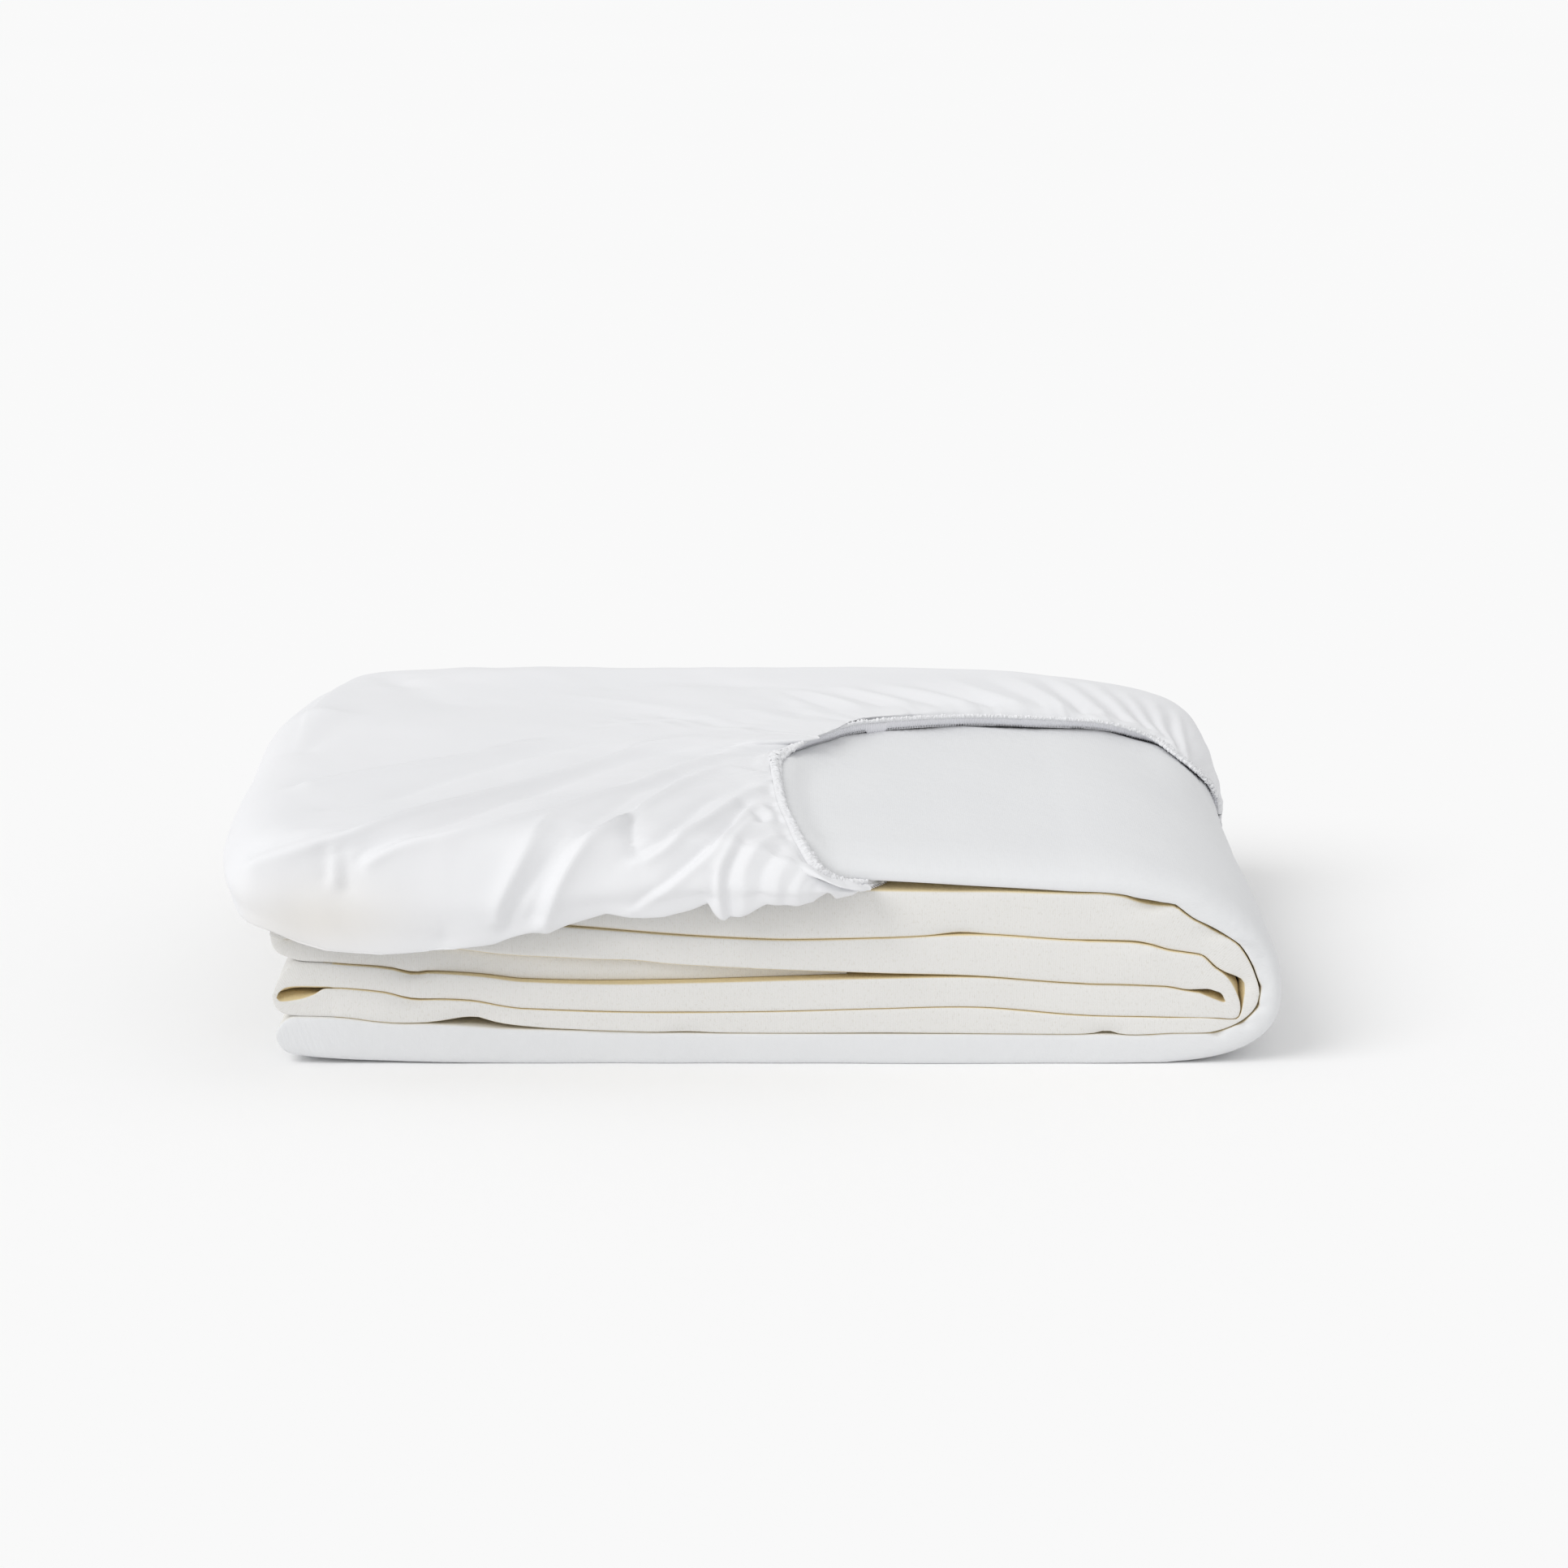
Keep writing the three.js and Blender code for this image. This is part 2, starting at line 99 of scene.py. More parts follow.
SEAMS = {  # how high each lies at places across the front of the pile
    "table": [(-203, 3.7), (-194, 2.5), (-179, 1.5), (-156, 0.7), (-110, 0), (0, 0), (120, 0), (150, 0.3),
              (160, 0.6)],
    "bottom_over": [(-203, 20.5), (-193, 20.3), (-181, 19.7), (-170, 18.3), (-159, 17.5), (-148, 17.4),
                    (-132, 16.5), (-117, 15.3), (-80, 14.3), (-40, 13.2), (0, 13), (40, 13), (80, 13),
                    (122, 12.8), (134, 12.7), (145, 12.3), (161, 13.2)],
    "second_under": [(-203, 20.5), (-193, 20.3), (-181, 19.7), (-170, 18.3), (-159, 17.6), (-148, 17.8),
                     (-140, 18.6), (-132, 19.6), (-126, 19.5), (-122, 18.3), (-117, 17.3), (-110, 16.4),
                     (-98, 15.3), (-80, 14.5), (-40, 13.3), (0, 13), (40, 13.2), (80, 13), (122, 12.8),
                     (130, 13), (134, 13.6), (138, 12.7), (145, 12.4), (161, 13.3)],
    "second_third": [(-190, 33), (-181, 32.4), (-170, 31.4), (-164, 30.6), (-159, 29.2), (-153, 28.1),
                     (-140, 27.8), (-128, 27), (-117, 24.9), (-110, 23.8), (-80, 22.6), (-40, 22.1),
                     (0, 22.5), (40, 23.8), (80, 24.4), (122, 21), (150, 20.2), (174, 19.8)],
    "third_tongue": [(-200, 43.5), (-190, 43.3), (-181, 42.5), (-170, 41.7), (-162, 40.7), (-157, 39.5),
                     (-153, 38.7), (-148, 39.2), (-140, 38.8), (-124, 37.5), (-110, 35.6), (-80, 34.5),
                     (-40, 34.9), (0, 36), (40, 37), (80, 37.4), (122, 34.6), (140, 34.1), (159, 33.2),
                     (166, 31.7), (172, 30.8)],
    "tongue_fourth": [(-200, 54.5), (-160, 51.6), (-136, 49.6), (-128, 48.4), (-117, 47), (-109, 46.4),
                      (-80, 45), (-40, 42.3), (0, 40.2), (40, 38.8), (80, 37.8), (122, 34.8), (140, 34.3),
                      (159, 33.4), (166, 32), (172, 32)],
    "fourth_fifth": [(-200, 66), (-160, 64.5), (-120, 61.8), (-80, 58.3), (-40, 55), (0, 53.2), (40, 54),
                     (80, 55.6), (122, 53.2), (131, 52.9), (144, 52.5), (151, 51.3), (158, 49.1)],
    "fifth_over": [(-200, 82), (-120, 81), (-80, 80), (-40, 78), (0, 75.5), (40, 74.5), (80, 74.2),
                   (122, 73.2)],
    "top_under": [(-200, 84), (-120, 83.2), (-80, 81.8), (-40, 80.2), (0, 79.2), (40, 78.4), (80, 76),
                  (122, 73.7)],
    "crest": [(-200, 88), (-160, 91), (-120, 92), (-80, 91.5), (-40, 90.5), (0, 89), (40, 88), (80, 86.4),
              (120, 84)],
}

# The passes in folding order, each between two of those lines. `front` is how far the folded edge lies
# behind the pile's face at the pass's two ends.
PASSES = [
    {"name": "bottom", "under": "table", "over": "bottom_over", "run": (-202, 150), "front": (0, 0)},
    {"name": "top", "under": "top_under", "over": "crest", "run": (118, -176), "front": (0, 0)},
    {"name": "fifth", "under": "fourth_fifth", "over": "fifth_over", "run": (-180, 122), "front": (1, 0)},
    {"name": "second", "under": "second_under", "over": "second_third", "run": (160, -186),
     "front": (0.3, 0)},
    {"name": "third", "under": "second_third", "over": "third_tongue", "run": (-186, 172),
     "front": (0.4, 0.3)},
    {"name": "fourth", "under": "tongue_fourth", "over": "fourth_fifth", "run": (150, -190), "front": (0, 0)},
    {"name": "tongue", "under": "third_tongue", "over": "tongue_fourth", "run": (-190, 26),
     "front": (1.5, 7)},
]
COATED_PASSES = ("bottom", "top")

# How the coated passes round off over their left and their right face, seen along the folding, and where
# between them the foremost point lies: the top one rolls down over its upper face to a thin lip.
COATED_NOSES = {
    "bottom": {"left": 1.8, "right": 3.0, "peak": 0.0, "power": 3.6},
    "top": {"left": 1.2, "right": 24.0, "peak": 0.66, "power": 2.2},
}

# Pockets and pulls in the folded edges: where they are at the front, how wide, how deep they go behind the
# face, and which way they move the cloth.
DIMPLES = [
    {"on": "inner_wrap", "at": (151, 69.5), "wide": (8, 3.4), "deep": 12, "move": (0, 2.6, -1.6)},
    {"on": "inner_wrap", "at": (178, 57), "wide": (7, 3), "deep": 12, "move": (0, 1.6, -0.6)},
    {"on": "inner_wrap", "at": (188.5, 34), "wide": (4, 5), "deep": 12, "move": (0.8, 1.6, 0)},
    {"on": "fifth", "at": (72, 76), "wide": (12, 4), "deep": 10, "move": (0, 1.2, -0.5)},
    {"on": "fourth", "at": (140, 52), "wide": (16, 4), "deep": 12, "move": (0, 0.9, -0.3)},
    {"on": "fifth", "at": (72, 56), "wide": (9, 2.4), "deep": 9, "move": (0, 1.0, 0.6)},
    {"on": "third", "at": (-154, 39.5), "wide": (8, 2.6), "deep": 9, "move": (0, 1.6, -0.7)},
    {"on": "second", "at": (-154, 27.5), "wide": (8, 2.6), "deep": 8, "move": (0, 1.6, -0.7)},
    {"on": "second", "at": (-170, 24), "wide": (20, 4), "deep": 16, "move": (0, -0.9, 0)},
    {"on": "second", "at": (-131, 20), "wide": (14, 3), "deep": 10, "move": (0, 1.6, 0.2)},
    {"on": "second", "at": (134, 13.8), "wide": (6, 2), "deep": 7, "move": (0, 1.2, 0.4)},
    {"on": "second", "at": (-40, 14), "wide": (10, 2.5), "deep": 7, "move": (0, 1.0, 0.4)},
    {"on": "fourth", "at": (-60, 46), "wide": (10, 3), "deep": 8, "move": (0, 1.2, 0.5)},
    {"on": "right_wrap", "at": (192.5, 50.8), "wide": (5, 1.3), "deep": 9, "move": (0, 1.3, 0)},
    {"on": "right_wrap", "at": (197, 46.4), "wide": (3.5, 1.3), "deep": 9, "move": (0, 1.2, 0)},
    {"on": "right_wrap", "at": (196.4, 40.4), "wide": (3.2, 1.5), "deep": 9, "move": (0.4, 1.4, 0)},
    {"on": "right_wrap", "at": (198, 34), "wide": (2.6, 1.7), "deep": 9, "move": (0.9, 1.5, 0)},
    {"on": "right_wrap", "at": (197, 24.6), "wide": (2.2, 1.6), "deep": 8, "move": (0.7, 0.9, -0.3)},
    {"on": "right_wrap", "at": (191, 17.6), "wide": (2.6, 1.5), "deep": 8, "move": (0.5, 1.2, -0.8)},
    {"on": "right_wrap", "at": (180, 13.4), "wide": (3.0, 1.5), "deep": 8, "move": (0, 1.2, -0.7)},
]
PINCH_POWER = 4  # how sharply a pinch ends at its sides

# Loops that close behind their mouth: which way, 0 sideways and 1 upwards, and over what depth.
PINCHES = [
    {"closes": 1, "at": (-199, 29.5), "wide": (15, 4.8), "from": 0.5, "run": 6},
    {"closes": 0, "at": (188.8, 31.5), "wide": (4.5, 9), "from": 1.5, "run": 7},
    {"closes": 1, "at": (176, 30), "wide": (8, 3.6), "from": 2, "run": 8},
]

# The top of the pile stands a little higher in these places: where in plan, how wide and how much.
SWELLS = [
    {"at": (184, 232), "wide": (16, 62), "up": 6.0},
]
LIFT = {"from": 40, "run": 25}  # only what lies above this height is lifted

# The ledge that carries the edge of the skirt's mouth, from the rib `first` on. It lies `clear` below that
# edge, or above it where that is negative, and `under` lower still where the hem lies flat. It begins
# `ahead` of the edge and rises over `run`, then fades over `fade` from `past` behind it, and lifts the pile
# by `most` at most.
LEDGE = {"first": 5, "clear": -0.9, "under": 0.7, "ahead": 13, "run": 12, "past": 8, "fade": 12, "most": 13}
LEDGE_STEPS = 6  # places between two ribs
LEDGE_START = {"from": 2, "run": 16}  # how far behind the pile's face it starts

# The turns between them: the outermost point, the cloth's thickness there and the height of the innermost
# point. The outer and the inner line run into the lower and the upper pass either through given points or
# by themselves, the squarer the lower their number.
TURNS = [
    {"name": "right_wrap", "reach": 207, "height": 31.5, "thick": 9.9, "hollow": 30.2,
     "outer": (0.76, 0.96), "inner": ([(161, 13.2), (174, 13.2), (179.5, 13.9), (185, 15.7), (189.7, 18.1),
                                       (193.9, 21.5), (196.3, 25.5)], [(131, 73.5), (140, 72.5),
                                                                       (145, 71.2), (151, 70.2),
                                                                       (156, 69.2), (161, 68.4),
                                                                       (164.5, 65.7), (169, 62.4),
                                                                       (174, 60), (178.6, 57.6),
                                                                       (184, 54.2), (187.8, 51.4),
                                                                       (190.8, 47.6), (193.2, 43.3),
                                                                       (195.1, 38.5), (196.7, 33.7)])},
    {"name": "top_left", "reach": -208.5, "height": 78, "thick": 7, "hollow": 83, "outer": (0.9, 0.9),
     "inner": (1, 1)},
    {"name": "inner_wrap", "reach": 196.8, "height": 30.2, "thick": 6.6, "hollow": 30,
     "outer": ([(174, 13.4), (179.4, 14.2), (184.8, 16.1), (189.4, 18.6), (193.4, 22), (195.9, 25.8)],
               [(131, 73), (140, 71.8), (145, 70.4), (151, 69.4), (156, 68.5), (161, 67.7), (164.2, 65.2),
                (168.7, 61.9), (173.5, 59.5), (178.1, 57), (183.7, 53.8), (187.5, 51), (190.4, 47.2),
                (192.8, 43), (194.7, 38.3), (196.3, 33.6)]), "inner": ([(174, 19.9), (186, 19.2),
                                                                        (188.8, 20.8), (189.8, 25)],
                                                                       [(131, 53), (144, 52.7), (151, 51.5),
                                                                        (158.4, 49.3), (165.8, 48.1),
                                                                        (172.2, 47), (175.3, 44.8),
                                                                        (178.2, 41.9), (182.2, 39.5),
                                                                        (186.3, 37.7), (189.6, 35)])},
    {"name": "left_loop", "reach": -211.8, "height": 29.5, "thick": 1.8, "hollow": 28.4,
     "outer": ([(-193.3, 20.3), (-203.2, 20.7), (-208.5, 22.2), (-211.1, 25.3)],
               [(-198, 43.5), (-202.5, 43.8), (-206.4, 40.3), (-209.6, 35.5)]),
     "inner": ([(-190.7, 32.6), (-194.6, 30), (-200.7, 27.7), (-208, 26.8)],
               [(-190.7, 33.3), (-204.4, 33.3), (-208.8, 31)])},
    {"name": "right_loop", "reach": 189.1, "height": 23.4, "thick": 6.4, "hollow": 27,
     "outer": ([(180, 19.7), (185.8, 19.3), (188.3, 20.4)], [(158.4, 49), (165.8, 47.8), (172.2, 46.7),
                                                             (175.1, 44.5), (177.9, 41.6), (181.6, 39),
                                                             (184.5, 36), (186.9, 31.7), (188.7, 27)]),
     "inner": ([(177.3, 28.5), (181.3, 26.9)], [(159, 33.4), (166, 32.1), (171.7, 32.2), (175.4, 32.3),
                                                (178.1, 31.6), (180.9, 30.4)])},
    {"name": "upper_left", "reach": -212, "height": 55.5, "thick": 5.5, "hollow": 53.9,
     "outer": ([(-198, 43.7), (-202.5, 44.6), (-209.2, 47.5), (-211.5, 51.4)], 0.9), "inner": (1, 1)},
]
FREE_TURNS = (0, 1, 3, 5)  # those with nothing round them

# ----------------------------------------------------------------------------------------------------------
# The skirt

HEM_WIDTH = 6.5
HEM_ROLL = {"distance": 3, "share": 0.1}  # how far the skirt runs on from the hem before it rises

# How far the lines of the skirt lie inside its widest line: a distance, but no more than a share of the
# whole way from the mouth to there.
INSETS = {
    "crown": {"distance": 45, "share": 0.35},
    "shoulder": {"distance": 14, "share": 0.25},
    "curl": {"distance": 1.5, "share": 0.1},
    "low": {"distance": 4, "share": 0.3},
}
CLIMB = [{"out": 0.2, "up": 0.6}, {"out": 0.6, "up": 0.93}]  # shares of the way from the hem to the crown
BACK_LEAN = (-20, -55)  # where the hem leans in this far, the cloth rises close behind it
BACK_CLIMB = [{"out": 0.9}, {"out": 2.4, "up": -0.3}, {"out": 14, "up": 0.5}]
SHOULDER_SHARE = 0.8  # where the skirt turns down it is this share of the way up to its crown
CURL_RISE = 6  # it starts to curl in this far above its lower edge
CURL_SHARE = 0.5  # but no more than this share of the way up to its widest line
TUCK = {"in": 7, "up": 5, "reach": 40}  # the lower edge turns in under the pocket, less where that is narrow
PROFILE_LOW = 10  # the lower edge, counted along a rib
TIP_RIBS = 3  # the first ribs reach in under the panel's top pass
COVER_CLEARANCE = 1.2  # the skirt never comes closer to the top of the panel than this
LEVEL = 0.3  # where the upright part of its normal is more than this, it lies on the pile
EDGE_FADE = {"ahead": 4, "run": 5, "past": 4, "left": 14, "right": 4, "rows": 2}
HEM_FADE, FOLD_FADE = 3, 9  # rumples and folds start over this distance from the hem
PLEATS = [  # fine gathers that start at the hem
    {"pitch": 3.0, "drift": 30, "seed": 21, "high": 0.55},
    {"pitch": 6.5, "drift": -45, "seed": 22, "high": 0.8},
]
PLEAT_REACH = {"from": 8, "fade": 11}
RUMPLES = [  # the soft unevenness of the whole skirt
    {"per_rib": 1.7, "pitch": 38, "seed": 31, "high": 0.5},
    {"per_rib": 4, "pitch": 15, "seed": 32, "high": 0.25},
]
RUMPLE_EDGE = 0.04  # share of a rib over which the rumples end at the lower edge
RIB_SPACING = 30  # between two ribs, for the weave
THIN = {"at": (-190, 66), "wide": (32, 14), "front": 8}  # where the panel shows through the skirt
RIB_COLUMNS = 28  # columns of the skirt's mesh between two ribs
PROFILE_SPANS = [  # rows between one point of a rib and another
    {"to": 2, "rows": 6},
    {"to": 4, "rows": 22},
    {"to": 6, "rows": 40},
    {"to": 8, "rows": 30},
    {"to": 10, "rows": 24},
    {"to": 11, "rows": 6},
]
HEM_END = 6  # the row of the skirt's mesh where its hem ends
HEM_ROWS = 9  # rows that the hem follows
HEM_STEP = 0.19  # along the hem, fine enough for its ruffles
RUFFLE = {"pitch": 1.5, "length": 3.2, "high": 0.8}
CHANNEL_SWELL = {"front": 1.2, "back": 0.3}  # the hem's fold is fuller where it lies on its back
HEM_BEAD = {"at": 0.55, "under": 0.45, "radius": 0.95, "from": 20, "to": 215}  # it rolls over the free edge
BEAD_STEPS = 10
ON_BACK = {"from": 0.35, "run": 0.4}  # the upright part of the hem's facing, where it lies on its back
CHANNEL = {"from": 0.14, "to": 0.94, "rows": 9, "high": 0.3, "power": 0.8}  # the hem's fold over the elastic
HEM_LIFT = 0.1  # of the hem's last rows above the skirt
RUFFLE_FADE = {"inner": 2, "edge": 1.5, "least": 0.25}
RUFFLE_PUFF = {"high": 4.0, "level": 0.3}
RUFFLE_FINE = {"along": 2.3, "across": 1.7, "apart": 40.0, "high": 0.9}
RUFFLE_SLOW = {"along": 0.2, "apart": 80.0, "high": 0.9}
NOISE_MIDDLE = 0.5
CORD_SIDES = 7
ELASTIC_ROWS = 5  # across each face of the elastic
ELASTIC = {"from": 0.6, "short": 0.05, "thick": 0.6, "under": 0.35, "pitch": 1.3, "cord": 0.26}

# Its ribs, from the front tip of its mouth round the covered end and the back to the open end. `rim` is the
# free edge, `lean` the slope of the hem in degrees, `foot` the place in plan where the skirt comes down,
# and the others are its heights at its crown, at its widest line and at its lower edge. `hem` is the hem's
# width where it is narrower than HEM_WIDTH.
SKIRT_RIBS = [
    {"rim": (40, 12, 77.6), "lean": -5, "hem": 2, "foot": (41, 6), "crown": 77.3, "girth": 77, "low": 76.6},
    {"rim": (34, 5, 77.9), "lean": -20, "hem": 3, "foot": (35, 0), "crown": 77.2, "girth": 76.6, "low": 76},
    {"rim": (28, -2.2, 79.8), "lean": -42, "hem": 4, "foot": (28, -8), "crown": 77.4, "girth": 76.4,
     "low": 75},
    {"rim": (21, -4.2, 82.4), "hem": 5, "lean": -45, "foot": (16, -12), "crown": 81, "girth": 78, "low": 73},
    {"rim": (15, -4, 87.2), "hem": 5, "lean": -20, "foot": (1, -13.5), "crown": 87, "girth": 79, "low": 72},
    {"rim": (9, 7, 93.3), "hem": 4.8, "lean": 15, "foot": (-25, -13), "crown": 95, "girth": 81, "low": 70},
    {"rim": (4.6, 27, 94.6), "hem": 4.8, "lean": 40, "foot": (-58, -12), "crown": 98, "girth": 81,
     "low": 66.5},
    {"rim": (1.3, 51, 96.3), "hem": 4.8, "lean": 40, "foot": (-95, -13), "crown": 100, "girth": 78,
     "low": 62},
    {"rim": (-0.8, 80, 98), "hem": 4.8, "lean": 38, "foot": (-140, -14), "crown": 101, "girth": 75,
     "low": 52},
    {"rim": (-1.6, 100, 99.4), "hem": 4.8, "lean": 30, "foot": (-188, -14), "crown": 102, "girth": 76,
     "low": 52.5},
    {"rim": (-1.6, 113, 101.2), "hem": 4.8, "lean": 15, "foot": (-221, -9), "crown": 103, "girth": 80,
     "low": 62},
    {"rim": (0, 122, 103), "lean": -5, "foot": (-233, 26), "crown": 104, "girth": 86, "low": 67},
    {"rim": (3, 131, 104.4), "lean": -30, "foot": (-236, 110), "crown": 105.5, "girth": 90, "low": 73},
    {"rim": (7, 141, 105.3), "lean": -55, "foot": (-235, 200), "crown": 107.5, "girth": 94, "low": 74},
    {"rim": (13, 154, 105.8), "lean": -70, "foot": (-226, 276), "crown": 107, "girth": 90, "low": 66},
    {"rim": (20, 165, 106), "lean": -76, "foot": (-203, 306), "crown": 108.5, "girth": 80, "low": 52},
    {"rim": (32, 181, 106), "lean": -78, "foot": (-125, 310.5), "crown": 109, "girth": 76, "low": 40},
    {"rim": (52, 193, 105.4), "lean": -78, "foot": (-40, 310), "crown": 109.5, "girth": 74, "low": 35},
    {"rim": (88, 207, 103.8), "lean": -70, "foot": (45, 310), "crown": 109.5, "girth": 72, "low": 33},
    {"rim": (128, 215, 100.8), "lean": -66, "foot": (122, 309), "crown": 107.5, "girth": 70, "low": 33},
    {"rim": (150, 218, 98.3), "lean": -60, "foot": (178, 307), "crown": 101, "girth": 66, "low": 34},
    {"rim": (170, 222, 91.2), "lean": -46, "foot": (200, 299), "crown": 92, "girth": 60, "low": 36},
    {"rim": (182, 214, 84.2), "lean": -34, "foot": (208, 283), "crown": 80, "girth": 54, "low": 37},
    {"rim": (193, 210, 76), "lean": -30, "foot": (209.5, 268), "crown": 70, "girth": 50, "low": 37.5},
    {"rim": (202.5, 213, 64), "lean": -34, "foot": (209, 256), "crown": 60, "girth": 48, "low": 38},
    {"rim": (204, 216, 55), "lean": -30, "foot": (208.5, 249), "crown": 51, "girth": 46, "low": 38.5},
    {"rim": (204.5, 220, 47), "lean": -24, "foot": (208, 246), "crown": 44, "girth": 42, "low": 39},
]

# The skirt's lower edge along the front of the pile. It holds where the skirt hangs `ahead` of the pile's
# face, over `run` of EDGE_FADE, and fades out past its ends and up over `rows` of the profile.
LOWER_EDGE = [
    (-217, 62.8), (-209, 59.7), (-198, 54.9), (-188, 51.8), (-165, 50.1), (-135, 52.2), (-118, 55.2),
    (-98, 62), (-85, 64.4), (-72.6, 67.5), (-66, 66.6), (-58, 65.9), (-49, 66.4), (-38, 69.5), (-30.7, 72.5),
    (-27.5, 68.5),
    (-24, 65.9), (-18, 66.4), (-12, 69.6), (-7, 72.3), (-1, 71.8), (5, 72), (11, 73.1), (18, 77.2),
]

# The skirt's folds: ridges, and troughs where `high` is below zero. Each runs along `line`, and `high` is
# how far it stands off the smooth form at even steps along that line.
SKIRT_FOLDS = [
    {"line": [(41, 222, 107), (13, 239, 109), (-18, 252, 110), (-52, 257, 110), (-85, 250, 109),
              (-121, 235, 109), (-149, 220, 109), (-166, 235, 109), (-187, 277, 109)],
     "high": (-0.6, -1.4, -1.8, -2.4)},
    {"line": [(150, 270, 107), (100, 280, 109), (0, 282, 110), (-100, 280, 109), (-170, 270, 109)],
     "high": (1, 2, 2, 2, 1)},
    {"line": [(-195, 191, 107), (-211, 193, 105)], "high": (0, 3)},
    {"line": [(-195, 191, 107), (-212, 135, 104)], "high": (-0.5, -3)},
    {"line": [(10, 201, 105), (-48, 182, 106), (-94, 157, 107), (-133, 119, 106), (-158, 97, 106),
              (-187, 75, 106), (-203, 61, 105)], "high": (1, 2.4, 3.4, 4, 3.4), "behind": 0.5},
    {"line": [(10, 192, 104), (-47, 166, 106), (-93, 139, 106), (-131, 98, 106), (-153, 68, 105),
              (-168, 46, 105), (-190, 31, 104)], "high": (-1, -1.8, -2.6, -3.2, -2)},
    {"line": [(-8, 171, 103), (-56, 140, 105), (-80, 112, 105), (-110, 71, 104), (-144, 27, 104),
              (-177, -4, 100), (-216, -8, 88)], "high": (1, 2.4, 3.6, 4.8, 3.6), "behind": 0.7},
    {"line": [(-8, 161, 103), (-56, 125, 105), (-80, 96, 105), (-109, 54, 104), (-142, 9, 102),
              (-171, -7, 97), (-187, -10, 92)], "high": (-1, -1.6, -2.4, -3, -2)},
    {"line": [(-8, 148, 102), (-36, 115, 104), (-72, 61, 103), (-107, 14, 102), (-131, -2, 99),
              (-155, -8, 96), (-169, -11, 90)], "high": (1.4, 2.8, 4.2, 5.6, 5), "behind": 0.7},
    {"line": [(-159, -5, 98), (-169, -8, 96), (-173, -11, 91)], "high": (-3, -4.4, -3)},
    {"line": [(-27, 112, 104), (-45, 88, 104), (-63, 59, 103), (-79, 16, 102)], "high": (-1.4, -2, -2)},
    {"line": [(-7, 99, 104), (-27, 101, 104), (-39, 85, 103), (-57, 42, 102), (-70, 10, 101), (-82, -6, 95),
              (-92, -13, 80), (-98, -13, 64)], "high": (1.2, 3.4, 5, 5.6, 4.6), "behind": 0.4},
    {"line": [(-89, 0, 99), (-98, -11, 87), (-107, -14, 75), (-114, -13, 62)],
     "high": (-1.8, -2.8, -3.2, -2.6)},
    {"line": [(-96, 23, 102), (-102, -3, 98), (-110, -12, 85), (-116, -14, 73), (-117, -14, 66)],
     "high": (2, 4, 4, 2.4)},
    {"line": [(-63, 33, 102), (-63, 4, 100), (-61, -7, 93)], "high": (-2, -4, -5)},
    {"line": [(-60, -7, 93), (-52, -2, 98), (-43, 19, 101), (-30, 58, 102), (-17, 79, 103)],
     "high": (-4.6, -3.6, -2.8, -1.6)},
    {"line": [(-6, 79, 103), (-20, 51, 101), (-34, 12, 100), (-45, -4, 96), (-54, -8, 91), (-60, -9, 90)],
     "high": (1.5, 4, 5, 4.4, 2)},
    {"line": [(-4, 44, 101), (-14, 38, 101), (-20, 15, 99), (-27, -6, 95), (-37, -11, 87), (-50, -13, 77),
              (-62, -12, 69)], "high": (2, 4.4, 4.4, 3.4, 2)},
    {"line": [(-16, 48, 101), (-25, 6, 99), (-36, -8, 92), (-48, -13, 82), (-61, -12, 71)],
     "high": (-2.4, -4.2, -4.2, -3)},
    {"line": [(-13, 24, 100), (-21, -5, 97), (-26, -11, 87), (-27, -13, 77), (-25, -13, 66)],
     "high": (3, 3.6, 3.8, 3.2)},
    {"line": [(-16, -4, 96), (-22, -11, 87), (-23, -14, 77), (-22, -13, 66)], "high": (-2.4, -2.8, -2.6, -2)},
    {"line": [(-29, -12, 85), (-29, -13, 75)], "high": (-2, -2.2)},
    {"line": [(-3, 8, 97), (-11, -7, 95), (-16, -12, 86), (-16, -12, 71)], "high": (1.8, 2.2, 1.8, 1.2)},
    {"line": [(-1, -3, 93), (-8, -11, 87), (-10, -14, 77)], "high": (-1.2, -1.8, -1.4)},
    {"line": [(4, -5, 91), (-2, -13, 84), (-3, -13, 74)], "high": (1.2, 1.4, 1)},
    {"line": [(6, -11, 87), (2, -14, 80), (0, -13, 73)], "high": (-0.8, -1.2, -1)},
    {"line": [(10, -11, 85), (6, -14, 79), (6, -12, 73)], "high": (0.7, 0.9, 0.7)},
    {"line": [(-16, 27, 101), (-15, 36, 102), (-11, 42, 102), (-6, 38, 102), (-4, 28, 101), (-7, 18, 100),
              (-13, 17, 100)], "high": (2, 2.4, 2.6, 3, 2.6, 2.4, 2)},
    {"line": [(-12, 34, 101), (-9, 30, 101), (-9, 24, 100)], "high": (-1, -2.6, -2)},
    {"line": [(-187, -9, 95), (-187, -13, 84)], "high": (-1.6, -2.4)},
    {"line": [(-183, -9, 95), (-183, -13, 83)], "high": (1.4, 2.2)},
    {"line": [(-179, -9, 95), (-178, -14, 80)], "high": (-2, -3.4)},
    {"line": [(-138, -14, 62), (-139, -14, 57)], "high": (-1.4, -2.4)},
]
FOLD_BEHIND = 6.0  # a fold with a `behind` share has a trough that deep this far behind it
FOLD_REACH = 26.0  # how far from a fold the skirt is half back on its smooth form
FOLD_POWER = 1.5  # how fast it gets there: a low power makes a crisp ridge
FOLD_SOFT = 1.6  # the rounding of a ridge
FOLD_STEP = 3.0  # between two places along a fold
FOLD_LEAST = 6  # places along the shortest

